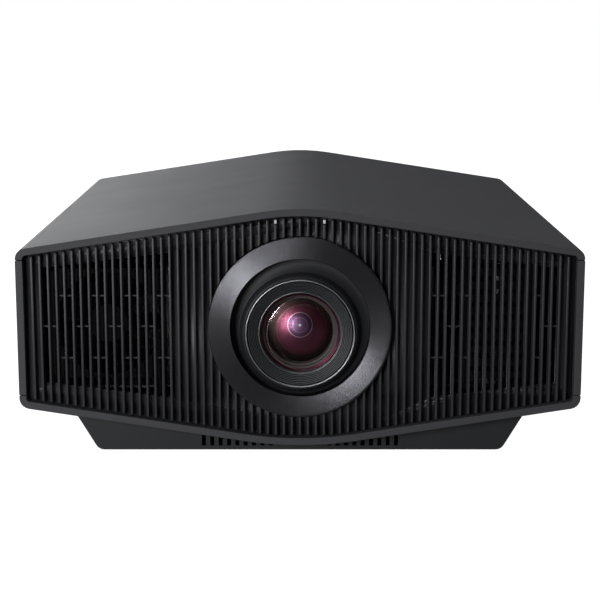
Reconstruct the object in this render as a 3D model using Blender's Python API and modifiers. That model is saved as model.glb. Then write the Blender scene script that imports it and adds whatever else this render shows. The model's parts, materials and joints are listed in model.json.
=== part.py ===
"""Home cinema projector, built as an assembly of separate pieces.

Metres, +Z up, the lens looks along -Y and +X is the side with the sockets and keys.
The origin is on the table, under the middle of the casing.
"""

import math

import bmesh
import bpy
from mathutils import Matrix, Vector

# Casing: a flat-sided hexagon seen from the front, with a soft ridge above and a soft keel below
HALF_WIDTH = 0.230
FRONT_Y = -0.2555  # front plane of the casing's rim
REAR_Y = 0.2585
RIDGE_Z = 0.2124  # where the two roof planes would meet, before the ridge is rounded
KEEL_Z = 0.0103
SLOPE = 0.155  # of the roof and of the floor
RIDGE_RADIUS = 0.200
KEEL_RADIUS = 0.287
CORNER_RADIUS = 0.009
WALL = 0.003
RIM = 0.006  # width of the rim around the front and the rear
RIM_DEPTH = 0.012
SPLIT_HIGH = 0.1681  # parting lines between the top cover, the side panels and the bottom case
SPLIT_LOW = 0.0563
GAP = 0.0003  # between pieces that touch

# Front grille
RIB_PITCH = 0.00658
RIBS_EACH_SIDE = 33
RIB_WIDTH = 0.0022
RIB_FRONT_Y = FRONT_Y + 0.002
GRILLE_FRONT_Y = FRONT_Y + 0.008
GRILLE_BACK_Y = FRONT_Y + 0.0105
GRILLE_INSET = RIM + 0.0004
VENT_RIBS = (16, 32)  # the vent's slots lie between these ribs, on both sides
VENT_MID_Z = 0.113
VENT_OUTER_X = 0.2058
VENT_OUTER_HALF = 0.0481  # half height of the slot at VENT_OUTER_X
VENT_SLOPE = 0.1235
INDICATOR_RIB = 3
INDICATOR_HEIGHT = 0.0042

# Lens and the ring around it
RING_FACE_Y = -0.2585
RING_Z = 0.1129
RING_RADIUS = 0.0746
RING_BORE = 0.0568
RING_SEAT_BORE = 0.0580  # of the hole in the grille's floor under the ring
MASK_RADIUS = 0.0660  # the mask moves with the lens and always covers the ring's bore
MASK_CONE_RADIUS = 0.0500
LENS_Z = 0.1077
BARREL_RADIUS = 0.0451
BARREL_REAR_Y = -0.118
GLASS_RADIUS = 0.0332

# Motorised lens shift: plates that slide in each other's rails
PLATE = 0.003
CROSS_Y = -0.2082  # front of the plate that moves sideways and carries the lens
LIFT_Y = CROSS_Y + PLATE + 0.001
FRAME_Y = LIFT_Y + PLATE + 0.001
LIFT_SCREW = Vector((0.078, LIFT_Y - 0.0055, 0.110))
CROSS_SCREW = Vector((0.0, LIFT_Y - 0.0055, 0.0345))
SCREW_RADIUS = 0.003

# Focus and zoom gears on the barrel
MODULE = 0.002
RING_TEETH = 54
PINION_TEETH = 9
GEAR_WIDTH = 0.008
GEAR_CENTRES = MODULE * (RING_TEETH + PINION_TEETH) / 2 + 0.0003
FOCUS_Y = -0.183
ZOOM_Y = -0.160
LENS_MOTORS = (("focus", FOCUS_Y, math.radians(40)), ("zoom", ZOOM_Y, math.radians(140)))

# Base tray, feet and filter drawer
TRAY_Z = 0.005
TRAY_WALL = 0.0025
TRAY_HALF = 0.168  # half width at the bottom
TRAY_FLARE = 0.596  # how far the sides lean out for each unit of height
TRAY_FRONT_Y = FRONT_Y + 0.019
TRAY_REAR_Y = 0.235
FOOT_X = 0.130
FRONT_FOOT_Y = -0.195
REAR_FOOT_Y = 0.200
FOOT_RADIUS = 0.015
STEM_RADIUS = 0.004
CEILING_X = 0.070
CEILING_Y = (-0.070, 0.110)
DRAWER_Y = (-0.100, 0.050)
DRAWER_Z = (0.0083, 0.0195)
DRAWER_INNER_X = -0.084

# Inside
CHASSIS_Z = 0.0456  # underside of the plate that carries the light engine

# Fans
FAN_X = 0.158
FAN_Z = 0.1125
FAN_SIZE = 0.092
FAN_DEPTH = 0.025
FAN_FRONT_Y = FRONT_Y + 0.020
FAN_BORE = 0.043
FAN_BLADES = 7

SCREEN_COLUMNS = (21, 28)  # the lattice's holes line up with these gaps of the grille
SCREEN_PITCH = 0.0108
SCREEN_MID_Z = 0.1070
SCREEN_HOLE = (0.0019, 0.0021)
SCREEN_LOW = (0.1340, 0.0580)
SCREEN_HIGH = (0.1925, 0.1680)

# Side bay with the sockets and the keys
BAY_Y = (0.000, 0.190)
BAY_Z = (0.078, 0.146)
BAY_FACE_X = 0.2205
KEY_TRAVEL_ROOM = 0.0030
PAD_Y = 0.050  # middle of the four arrow keys
PAD_Z = 0.112
KEY_PITCH = 0.016

SEGMENTS = 48


# ---------------------------------------------------------------- scene helpers


def clear_scene():
    for obj in list(bpy.data.objects):
        bpy.data.objects.remove(obj)


def new_collection(name):
    collection = bpy.data.collections.new(name)
    bpy.context.scene.collection.children.link(collection)
    return collection


def new_material(name, colour, roughness, metallic=0.0):
    material = bpy.data.materials.new(name)
    material.use_nodes = True
    shader = material.node_tree.nodes["Principled BSDF"]
    shader.inputs["Base Color"].default_value = (*colour, 1.0)
    shader.inputs["Roughness"].default_value = roughness
    shader.inputs["Metallic"].default_value = metallic
    return material


clear_scene()
PARTS = new_collection("home_projector")
CUTTERS = new_collection("cutters")
SHELL = new_material("shell", (0.055, 0.056, 0.060), 0.55)
GRILLE = new_material("grille", (0.030, 0.030, 0.033), 0.5)
TRAY = new_material("tray", (0.018, 0.019, 0.021), 0.5)
RING_METAL = new_material("ring_metal", (0.10, 0.10, 0.11), 0.35, 0.9)
BLACK = new_material("black_plastic", (0.012, 0.012, 0.013), 0.55)
GLASS = new_material("coated_glass", (0.25, 0.05, 0.12), 0.05)
CLEAR = new_material("clear_plastic", (0.75, 0.76, 0.78), 0.2)
ALLOY = new_material("alloy", (0.55, 0.56, 0.58), 0.4, 0.9)
STEEL = new_material("steel", (0.45, 0.45, 0.46), 0.35, 1.0)
BOARD = new_material("circuit_board", (0.02, 0.10, 0.05), 0.5)
RUBBER = new_material("rubber", (0.02, 0.02, 0.02), 0.8)
FOAM = new_material("filter_foam", (0.10, 0.10, 0.11), 0.9)
NYLON = new_material("nylon", (0.60, 0.58, 0.52), 0.5)
PHOSPHOR = new_material("phosphor", (0.75, 0.65, 0.10), 0.6)


def finish(obj, material, cutter=False):
    """Puts a new object in its collection and gives it its material."""
    for collection in list(obj.users_collection):
        collection.objects.unlink(obj)
    (CUTTERS if cutter else PARTS).objects.link(obj)
    obj.hide_render = cutter
    if cutter:
        obj.display_type = "WIRE"
    if material is not None:
        obj.data.materials.clear()
        obj.data.materials.append(material)
    return obj


def boolean(obj, tool, operation="DIFFERENCE"):
    modifier = obj.modifiers.new(operation.lower() + "_" + tool.name, "BOOLEAN")
    modifier.operation = operation
    modifier.object = tool
    return obj


def boxes(name, spans, origin=(0, 0, 0), material=None):
    """One mesh of separate boxes, each given by its low and high corner; a helper when it has no material."""
    mesh = bpy.data.meshes.new(name)
    shape = bmesh.new()
    for low, high in spans:
        low, high = Vector(low), Vector(high)
        made = bmesh.ops.create_cube(shape, size=1.0)["verts"]
        bmesh.ops.scale(shape, vec=high - low, verts=made)
        bmesh.ops.translate(shape, vec=(low + high) / 2 - Vector(origin), verts=made)
    shape.to_mesh(mesh)
    shape.free()
    obj = bpy.data.objects.new(name, mesh)
    bpy.context.scene.collection.objects.link(obj)
    obj.location = origin
    return finish(obj, material, cutter=material is None)


AXES = {
    "X": Matrix(((0, 0, 1), (1, 0, 0), (0, 1, 0))),  # drawn in (y, z), thick along X
    "Y": Matrix(((1, 0, 0), (0, 0, -1), (0, 1, 0))),  # drawn in (x, z), thick along Y
    "Z": Matrix.Identity(3),  # drawn in (x, y), thick along Z
}


def plate(name, loops, axis, low, high, material=None, origin=(0, 0, 0)):
    """A flat outline with holes, thick from low to high along an axis. Its points are taken from the origin.

    The curve is drawn in millimetres, because filling it is only exact to some hundredths of a unit.
    """
    curve = bpy.data.curves.new(name, "CURVE")
    curve.dimensions = "2D"
    curve.fill_mode = "BOTH"
    curve.extrude = (high - low) * 500
    for loop in loops:
        spline = curve.splines.new("POLY")
        spline.points.add(len(loop) - 1)
        for point, (u, v) in zip(spline.points, loop):
            point.co = (u * 1000, v * 1000, 0, 1)
        spline.use_cyclic_u = True
    drawn = bpy.data.objects.new(name + "_outline", curve)
    bpy.context.scene.collection.objects.link(drawn)
    bpy.context.view_layer.update()
    mesh = bpy.data.meshes.new_from_object(drawn.evaluated_get(bpy.context.evaluated_depsgraph_get()))
    bpy.data.objects.remove(drawn)
    mesh.name = name
    shape = bmesh.new()
    shape.from_mesh(mesh)
    bmesh.ops.scale(shape, vec=(0.001, 0.001, 0.001), verts=shape.verts)
    bmesh.ops.remove_doubles(shape, verts=shape.verts, dist=1e-6)
    bmesh.ops.recalc_face_normals(shape, faces=shape.faces)
    along = AXES[axis] @ Vector((0, 0, 1))
    sign = 1 if sum(along) > 0 else -1
    bmesh.ops.transform(shape, matrix=AXES[axis].to_4x4(), verts=shape.verts)
    bmesh.ops.translate(shape, vec=along * sign * (low + high) / 2, verts=shape.verts)
    shape.to_mesh(mesh)
    shape.free()
    obj = bpy.data.objects.new(name, mesh)
    bpy.context.scene.collection.objects.link(obj)
    obj.location = Vector(origin)
    return finish(obj, material, cutter=material is None)


TURNS = {"Y": (math.pi / 2, 0, 0), "Z": (0, 0, 0), "X": (0, math.pi / 2, 0)}


def turned(name, profile, axis, origin, material=None, closed=False, steps=SEGMENTS):
    """A turned piece. The profile runs (radius, height) down the outer side; height points to -Y, +Z or +X."""
    mesh = bpy.data.meshes.new(name)
    count = len(profile)
    edges = [(i, i + 1) for i in range(count - 1)] + ([(count - 1, 0)] if closed else [])
    mesh.from_pydata([(radius, 0, height) for radius, height in profile], edges, [])
    obj = bpy.data.objects.new(name, mesh)
    bpy.context.scene.collection.objects.link(obj)
    obj.rotation_euler = TURNS[axis]
    obj.location = Vector(origin)
    screw = obj.modifiers.new("turn", "SCREW")
    screw.steps = screw.render_steps = steps
    screw.use_merge_vertices = True
    screw.merge_threshold = 1e-5
    screw.use_smooth_shade = True
    return finish(obj, material, cutter=material is None)


def rod(name, radius, axis, origin, low, high, material=None, steps=24):
    """A solid cylinder along an axis from low to high, counted from its origin."""
    profile = [(0, high), (radius, high), (radius, low), (0, low)]
    return turned(name, profile, axis, origin, material, steps=steps)


def tube(name, bore, radius, axis, origin, low, high, material=None, steps=SEGMENTS):
    profile = [(bore, high), (radius, high), (radius, low), (bore, low)]
    return turned(name, profile, axis, origin, material, closed=True, steps=steps)


# ---------------------------------------------------------------- outlines


def circle(radius, centre=(0, 0), count=SEGMENTS):
    turn = 2 * math.pi / count
    return [
        (centre[0] + radius * math.cos(turn * i), centre[1] + radius * math.sin(turn * i)) for i in range(count)
    ]


def rectangle(low, high):
    return [(low[0], low[1]), (high[0], low[1]), (high[0], high[1]), (low[0], high[1])]


def rounded(corners, steps=5):
    """A closed outline through corners (u, v, radius), each rounded by an arc that meets its two sides."""
    outline = []
    count = len(corners)
    for i, (u, v, radius) in enumerate(corners):
        here = Vector((u, v))
        before = (Vector(corners[i - 1][:2]) - here).normalized()
        after = (Vector(corners[(i + 1) % count][:2]) - here).normalized()
        half = before.angle(after) / 2
        if radius <= 0:
            outline.append(tuple(here))
            continue
        centre = here + (before + after).normalized() * radius / math.sin(half)
        start = here + before * radius / math.tan(half) - centre
        end = here + after * radius / math.tan(half) - centre
        sweep = start.angle_signed(end)
        for step in range(steps + 1):
            angle = -sweep * step / steps
            turn = Matrix.Rotation(angle, 2)
            outline.append(tuple(centre + turn @ start))
    return outline


def casing_outline(inset):
    """The casing's outline in (x, z), moved inwards by inset."""
    drop = inset * math.hypot(1, SLOPE)
    side = HALF_WIDTH - inset
    ridge, keel = RIDGE_Z - drop, KEEL_Z + drop
    corner = max(CORNER_RADIUS - inset, 0.0025)
    return rounded(
        [
            (0, ridge, RIDGE_RADIUS - inset),
            (-side, ridge - SLOPE * side, corner),
            (-side, keel + SLOPE * side, corner),
            (0, keel, KEEL_RADIUS + inset),
            (side, keel + SLOPE * side, corner),
            (side, ridge - SLOPE * side, corner),
        ]
    )


def roof_z(x, inset):
    return RIDGE_Z - inset * math.hypot(1, SLOPE) - SLOPE * abs(x)


def floor_z(x, inset):
    return KEEL_Z + inset * math.hypot(1, SLOPE) + SLOPE * abs(x)


def gear_outline(teeth, tooth_angle, addendum=0.0014, dedendum=0.0021):
    """A gear's outline: straight-flanked teeth with plenty of backlash, the first tooth's middle at tooth_angle."""
    pitch_radius = MODULE * teeth / 2
    root, tip = pitch_radius - dedendum, pitch_radius + addendum
    root_half, tip_half = 0.26 * 2 * math.pi / teeth, 0.10 * 2 * math.pi / teeth
    outline = []
    for i in range(teeth):
        middle = tooth_angle + 2 * math.pi * i / teeth
        for radius, angle in ((root, -root_half), (tip, -tip_half), (tip, tip_half), (root, root_half)):
            outline.append((radius * math.cos(middle + angle), radius * math.sin(middle + angle)))
    return outline


# ---------------------------------------------------------------- casing


def casing_blank(name):
    """The whole tube of the casing, thick at both rims and thin between them."""
    blank = plate(name, [casing_outline(0), casing_outline(RIM)], "Y", FRONT_Y, REAR_Y, SHELL)
    hollow = plate(name + "_hollow", [casing_outline(WALL)], "Y", FRONT_Y + RIM_DEPTH, REAR_Y - RIM_DEPTH)
    return boolean(blank, hollow)


def keep(obj, low, high):
    """Keeps only what lies in a box."""
    return boolean(obj, boxes(obj.name + "_keep", [(low, high)]), "INTERSECT")


def build_casing():
    far = 0.3
    top = keep(casing_blank("top_cover"), (-far, -far, SPLIT_HIGH + GAP), (far, far, far))
    bottom = keep(casing_blank("bottom_case"), (-far, -far, -far), (far, far, SPLIT_LOW - GAP))
    left = keep(casing_blank("side_panel_left"), (-far, -far, SPLIT_LOW + GAP), (-0.1, far, SPLIT_HIGH - GAP))
    right = keep(casing_blank("side_panel_right"), (0.1, -far, SPLIT_LOW + GAP), (far, far, SPLIT_HIGH - GAP))
    window = rounded([(y, z, 0.006) for y, z in rectangle((BAY_Y[0], BAY_Z[0]), (BAY_Y[1], BAY_Z[1]))], 4)
    boolean(right, plate("bay_window", [window], "X", 0.21, 0.25))
    lock_slot = boxes("lock_slot", [((-0.24, 0.222, 0.086), (-0.22, 0.229, 0.089))])
    boolean(left, lock_slot)
    intake = [
        ((-0.158, y, 0.015), (-0.092, y + 0.010, 0.045)) for y in (-0.090, -0.070, -0.050, -0.030, -0.010, 0.010, 0.030)
    ]
    boolean(bottom, boxes("intake_slots", intake))
    return top, bottom, left, right


def vent_slot_spans(sign):
    """Low and high corners of each slot of one vent."""
    spans = []
    clear = RIB_PITCH - RIB_WIDTH - 0.0004
    for slot in range(VENT_RIBS[0], VENT_RIBS[1]):
        x = sign * (slot + 0.5) * RIB_PITCH
        half = VENT_OUTER_HALF + (VENT_OUTER_X - abs(x)) * VENT_SLOPE
        low = (x - clear / 2, GRILLE_FRONT_Y - 0.0005, VENT_MID_Z - half)
        high = (x + clear / 2, GRILLE_BACK_Y + 0.001, VENT_MID_Z + half)
        spans.append((low, high))
    return spans


def build_grille():
    grille = plate("front_grille", [casing_outline(GRILLE_INSET)], "Y", GRILLE_FRONT_Y, GRILLE_BACK_Y, GRILLE)
    end_inset = RIM + 0.0016
    spans = []
    for i in range(-RIBS_EACH_SIDE, RIBS_EACH_SIDE + 1):
        x = i * RIB_PITCH
        top = min(roof_z(x, end_inset), RIDGE_Z - end_inset - 0.0029)
        if abs(i) == INDICATOR_RIB:
            top -= INDICATOR_HEIGHT
        bottom = max(floor_z(x, end_inset), KEEL_Z + end_inset + 0.0040)
        spans.append(
            (
                (x - RIB_WIDTH / 2, RIB_FRONT_Y, bottom),
                (x + RIB_WIDTH / 2, GRILLE_FRONT_Y + 0.001, top),
            )
        )
    boolean(grille, boxes("ribs", spans), "UNION")
    ring_centre = (0, GRILLE_FRONT_Y, RING_Z)
    boolean(grille, rod("ring_recess", RING_RADIUS + 0.0005, "Y", ring_centre, 0, 0.03, steps=64))
    boolean(grille, rod("ring_hole", RING_SEAT_BORE, "Y", ring_centre, -0.03, 0.03))
    for sign, side in ((-1, "left"), (1, "right")):
        boolean(grille, boxes("vent_slots_" + side, vent_slot_spans(sign)))
    lamps = []
    for sign, side in ((-1, "left"), (1, "right")):
        x = sign * INDICATOR_RIB * RIB_PITCH
        high = roof_z(x, end_inset) - 0.0008
        low = high - INDICATOR_HEIGHT + 0.0012
        span = ((x - 0.0010, RIB_FRONT_Y - 0.0002, low), (x + 0.0010, GRILLE_BACK_Y + 0.004, high))
        lamps.append(boxes("indicator_" + side, [span], material=CLEAR))
        grown = (Vector(span[0]) - Vector((GAP, 0, GAP)), Vector(span[1]) + Vector((GAP, 0, GAP)))
        boolean(grille, boxes("indicator_hole_" + side, [grown]))
    return grille


def build_exhaust_screen():
    """The lattice with square holes in front of the right fan."""
    holes = []
    for column in range(SCREEN_COLUMNS[0], SCREEN_COLUMNS[1]):
        x = (column + 0.5) * RIB_PITCH
        for row in range(-4, 6):
            z = SCREEN_MID_Z + row * SCREEN_PITCH
            holes.append(rectangle((x - SCREEN_HOLE[0], z - SCREEN_HOLE[1]), (x + SCREEN_HOLE[0], z + SCREEN_HOLE[1])))
    outline = rectangle(SCREEN_LOW, SCREEN_HIGH)
    back = FAN_FRONT_Y - GAP
    plate("exhaust_screen", [outline, *holes], "Y", back - 0.0015, back, BLACK)


def build_rear_panel():
    low_y, high_y = REAR_Y - 0.009, REAR_Y - 0.0065
    slots = []
    for sign in (-1, 1):
        for i in range(11):
            x = sign * (0.075 + i * 0.0125)
            half = 0.040 - 0.0012 * i
            if sign > 0 and i > 4:
                continue
            slots.append(rectangle((x - 0.002, 0.118 - half), (x + 0.002, 0.118 + half)))
    inlet = rounded([(u, v, 0.003) for u, v in rectangle((0.1585, 0.0855), (0.1915, 0.1105))], 3)
    plate("rear_panel", [casing_outline(GRILLE_INSET), *slots, inlet], "Y", low_y, high_y, SHELL)
    socket = rounded([(u, v, 0.0028) for u, v in rectangle((0.1588, 0.0858), (0.1912, 0.1102))], 3)
    ac = plate("ac_inlet", [socket], "Y", high_y - 0.024, high_y + 0.001, BLACK)
    boolean(ac, boxes("inlet_mouth", [((0.1630, high_y - 0.016, 0.0900), (0.1870, high_y + 0.01, 0.1060))]))


# ---------------------------------------------------------------- lens ring, mask and lens


def build_ring_and_mask():
    back = RING_FACE_Y - GRILLE_FRONT_Y + GAP
    face = [
        (RING_BORE, -0.0010),
        (RING_BORE + 0.0010, 0.0),
        (RING_RADIUS - 0.0014, 0.0),
        (RING_RADIUS - 0.0004, -0.0004),
        (RING_RADIUS, -0.0014),
        (RING_RADIUS, back),
        (RING_BORE, back),
    ]
    turned("lens_ring", face, "Y", (0, RING_FACE_Y, RING_Z), RING_METAL, closed=True, steps=64)
    front = FRONT_Y - GRILLE_BACK_Y - GAP
    profile = [
        (BARREL_RADIUS + GAP, -0.0015),
        (BARREL_RADIUS + 0.0012, -0.0015),
        (MASK_CONE_RADIUS, -0.0065),
        (MASK_CONE_RADIUS, front),
        (MASK_RADIUS, front),
        (MASK_RADIUS, front - 0.0020),
        (BARREL_RADIUS + GAP, front - 0.0020),
    ]
    turned("lens_mask", profile, "Y", (0, FRONT_Y, LENS_Z), BLACK, closed=True)


def build_barrel():
    length = BARREL_REAR_Y - FRONT_Y
    flange_front = CROSS_Y - 0.0035 - FRONT_Y
    flange_back = CROSS_Y - GAP - FRONT_Y
    profile = [
        (0.0433, 0.0),
        (BARREL_RADIUS - 0.0006, 0.0),
        (BARREL_RADIUS, -0.0006),
        (BARREL_RADIUS, -flange_front),
        (0.0520, -flange_front),
        (0.0520, -flange_back),
        (BARREL_RADIUS, -flange_back),
        (BARREL_RADIUS, -length + 0.010),
        (0.0400, -length + 0.010),
        (0.0400, -length),
        (0.0325, -length),
        (0.0325, -0.0060),
        (0.0433, -0.0060),
    ]
    barrel = turned("lens_barrel", profile, "Y", (0, FRONT_Y, LENS_Z), BLACK, closed=True, steps=36)
    for name, y, angle in LENS_MOTORS:
        back = y + GEAR_WIDTH / 2 + 0.0250 + GAP
        arm = boxes(name + "_bracket", [((0.044, back, -0.007), (0.069, back + 0.002, 0.007))])
        arm.data.transform(Matrix.Rotation(-angle, 4, "Y"))
        arm.location = (0, 0, LENS_Z)
        boolean(barrel, arm, "UNION")


def build_baffle_and_glass():
    steps = 3
    outer, inner = 0.0430, 0.0336
    front, back = -0.0006, -0.0048
    stair = [(inner, back)]
    for i in range(steps):
        radius = inner + (outer - inner) * (i + 1) / steps
        height = back + (front - back) * i / steps
        stair += [(radius, height), (radius, back + (front - back) * (i + 1) / steps)]
    profile = [*stair, (outer, -0.0057), (inner, -0.0057)]
    turned("baffle_ring", profile, "Y", (0, FRONT_Y, LENS_Z), BLACK, closed=True, steps=36)
    edge, apex, back_face = -0.0040, 0.0006, -0.0057
    sag = apex - edge
    bend = (GLASS_RADIUS**2 + sag**2) / (2 * sag)
    dome = []
    for i in range(5):
        radius = GLASS_RADIUS * i / 4
        dome.append((radius, apex - bend + math.sqrt(bend**2 - radius**2)))
    turned("front_element", [*dome, (GLASS_RADIUS, back_face), (0, back_face)], "Y", (0, FRONT_Y, LENS_Z), GLASS, steps=36)


def lens_point(angle, distance, y):
    return Vector((distance * math.cos(angle), y, LENS_Z + distance * math.sin(angle)))


def build_lens_gears():
    for name, y, angle in LENS_MOTORS:
        ring = [gear_outline(RING_TEETH, angle), circle(BARREL_RADIUS + GAP, count=36)]
        plate(name + "_ring", ring, "Y", -GEAR_WIDTH / 2, GEAR_WIDTH / 2, NYLON, (0, y, LENS_Z))
        centre = lens_point(angle, GEAR_CENTRES, y)
        facing = angle + math.pi + math.pi / PINION_TEETH
        pinion = plate(
            name + "_pinion",
            [gear_outline(PINION_TEETH, facing, addendum=0.0013)],
            "Y",
            -GEAR_WIDTH / 2,
            GEAR_WIDTH / 2,
            STEEL,
            tuple(centre),
        )
        boolean(pinion, rod(name + "_shaft", 0.0015, "Y", centre, -0.012, 0.001, steps=16), "UNION")
        back = GEAR_WIDTH / 2 + 0.0010
        profile = [
            (0, -back - 0.010),
            (0.0019, -back - 0.010),
            (0.0019, -back),
            (0.0075, -back),
            (0.0075, -back - 0.024),
            (0, -back - 0.024),
        ]
        turned(name + "_motor", profile, "Y", centre, STEEL, steps=24)


# ---------------------------------------------------------------- motorised lens shift


def build_shift():
    cross_half = 0.064
    hole = circle(BARREL_RADIUS + GAP, (0, LENS_Z))
    cross_outline = rectangle((-cross_half, LENS_Z - cross_half), (cross_half, LENS_Z + cross_half))
    cross = plate("horizontal_carriage", [cross_outline, hole], "Y", CROSS_Y, CROSS_Y + PLATE, ALLOY)
    nut_y = (CROSS_SCREW.y - 0.0050, CROSS_Y + PLATE - 0.0005)
    nut = boxes("cross_nut", [((-0.008, nut_y[0], CROSS_SCREW.z - 0.005), (0.008, nut_y[1], LENS_Z - cross_half + 0.002))])
    boolean(cross, nut, "UNION")
    boolean(cross, rod("cross_nut_hole", SCREW_RADIUS + GAP, "X", CROSS_SCREW, -0.03, 0.03))

    lift_top = LENS_Z + cross_half + 0.008
    lift_low = CROSS_SCREW.z - 0.0070
    lift_half = 0.088
    lift_outline = [
        (-lift_half, lift_top),
        (-lift_half, 0.048),
        (-0.060, lift_low),
        (0.060, lift_low),
        (lift_half, 0.048),
        (lift_half, lift_top),
    ]
    lift = plate("vertical_carriage", [lift_outline, circle(0.058, (0, LENS_Z))], "Y", LIFT_Y, LIFT_Y + PLATE, ALLOY)
    rail_front = CROSS_Y
    rails = [
        ((-0.080, rail_front, LENS_Z + cross_half + GAP), (0.068, LIFT_Y + 0.001, lift_top - GAP)),
        ((-0.050, rail_front, LENS_Z - cross_half - 0.0045), (-0.030, LIFT_Y + 0.001, LENS_Z - cross_half - GAP)),
        ((0.030, rail_front, LENS_Z - cross_half - 0.0045), (0.050, LIFT_Y + 0.001, LENS_Z - cross_half - GAP)),
        ((0.071, LIFT_SCREW.y - 0.005, 0.103), (0.085, LIFT_Y + 0.001, 0.117)),
    ]
    for i, span in enumerate(rails):
        boolean(lift, boxes(f"lift_rail_{i}", [span]), "UNION")
    boolean(lift, rod("lift_nut_hole", SCREW_RADIUS + GAP, "Z", LIFT_SCREW, -0.03, 0.03))

    frame_outline = [
        (-0.100, 0.190),
        (-0.100, floor_z(0.1, WALL) + 0.0006),
        (-0.045, floor_z(0.045, WALL) + 0.0006),
        (0.045, floor_z(0.045, WALL) + 0.0006),
        (0.100, floor_z(0.1, WALL) + 0.0006),
        (0.100, 0.190),
    ]
    frame = plate("shift_frame", [frame_outline, circle(0.064, (0, RING_Z))], "Y", FRAME_Y, FRAME_Y + PLATE, ALLOY)
    guides = [
        ((-0.0985, LIFT_Y, 0.060), (-lift_half - GAP, FRAME_Y + 0.001, 0.180)),
        ((lift_half + GAP, LIFT_Y, 0.050), (0.0985, FRAME_Y + 0.001, 0.180)),
        ((lift_half + 0.0010, LIFT_SCREW.y - 0.010, 0.055), (0.0985, FRAME_Y + 0.001, 0.072)),
    ]
    for i, span in enumerate(guides):
        boolean(frame, boxes(f"frame_guide_{i}", [span]), "UNION")

    rod("vertical_screw", SCREW_RADIUS, "Z", LIFT_SCREW, -0.037, 0.040, STEEL)
    motor_z = LIFT_SCREW.z - 0.037
    motor = boxes(
        "vertical_motor",
        [((0.0695, LIFT_SCREW.y - 0.009, motor_z - 0.020), (0.0885, LIFT_Y - 0.001, motor_z + 0.003))],
        material=STEEL,
    )
    boolean(motor, rod("lift_screw_seat", SCREW_RADIUS + GAP, "Z", LIFT_SCREW, -0.037 - GAP, 0.01))
    rod("horizontal_screw", SCREW_RADIUS, "X", CROSS_SCREW, -0.020, 0.022, STEEL)
    cross_motor = boxes(
        "horizontal_motor",
        [((0.019, CROSS_SCREW.y - 0.007, CROSS_SCREW.z - 0.0065), (0.046, LIFT_Y - GAP, CROSS_SCREW.z + 0.0040))],
        material=STEEL,
    )
    boolean(cross_motor, rod("cross_screw_seat", SCREW_RADIUS + GAP, "X", CROSS_SCREW, 0.0, 0.022 + GAP))


# ---------------------------------------------------------------- light engine, cooling and electronics


def build_engine():
    deck = CHASSIS_Z + 0.002 + GAP
    boxes("chassis_plate", [((-0.205, -0.185, CHASSIS_Z), (0.205, 0.235, CHASSIS_Z + 0.002))], material=STEEL)
    engine = boxes("light_engine", [((-0.094, -0.100, deck), (0.060, 0.060, 0.1280))], material=ALLOY)
    boolean(engine, boxes("engine_tower", [((-0.045, -0.090, 0.1), (0.045, 0.010, 0.1530))]), "UNION")
    snout_origin = (0, -0.100, LENS_Z)
    boolean(engine, rod("engine_snout", 0.040, "Y", snout_origin, -0.01, 0.0165, steps=32), "UNION")
    boolean(engine, rod("engine_port", 0.018, "Y", snout_origin, -0.04, 0.03, steps=24))
    boxes("laser_module", [((-0.200, 0.010, deck), (-0.116, 0.110, 0.1200))], material=ALLOY)
    sink = boxes("laser_heatsink", [((-0.204, 0.1103, deck), (-0.104, 0.200, 0.1500))], material=ALLOY)
    gaps = [((-0.210, 0.118, 0.060 + i * 0.009), (-0.100, 0.210, 0.0650 + i * 0.009)) for i in range(10)]
    boolean(sink, boxes("heatsink_gaps", gaps))
    wheel = [
        (0, 0.0097),
        (0.0050, 0.0097),
        (0.0050, 0.0006),
        (0.0300, 0.0006),
        (0.0300, -0.0006),
        (0.0090, -0.0006),
        (0.0090, -0.0030),
        (0, -0.0030),
    ]
    turned("phosphor_wheel", wheel, "X", (-0.104, -0.020, 0.090), PHOSPHOR, steps=24)


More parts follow.
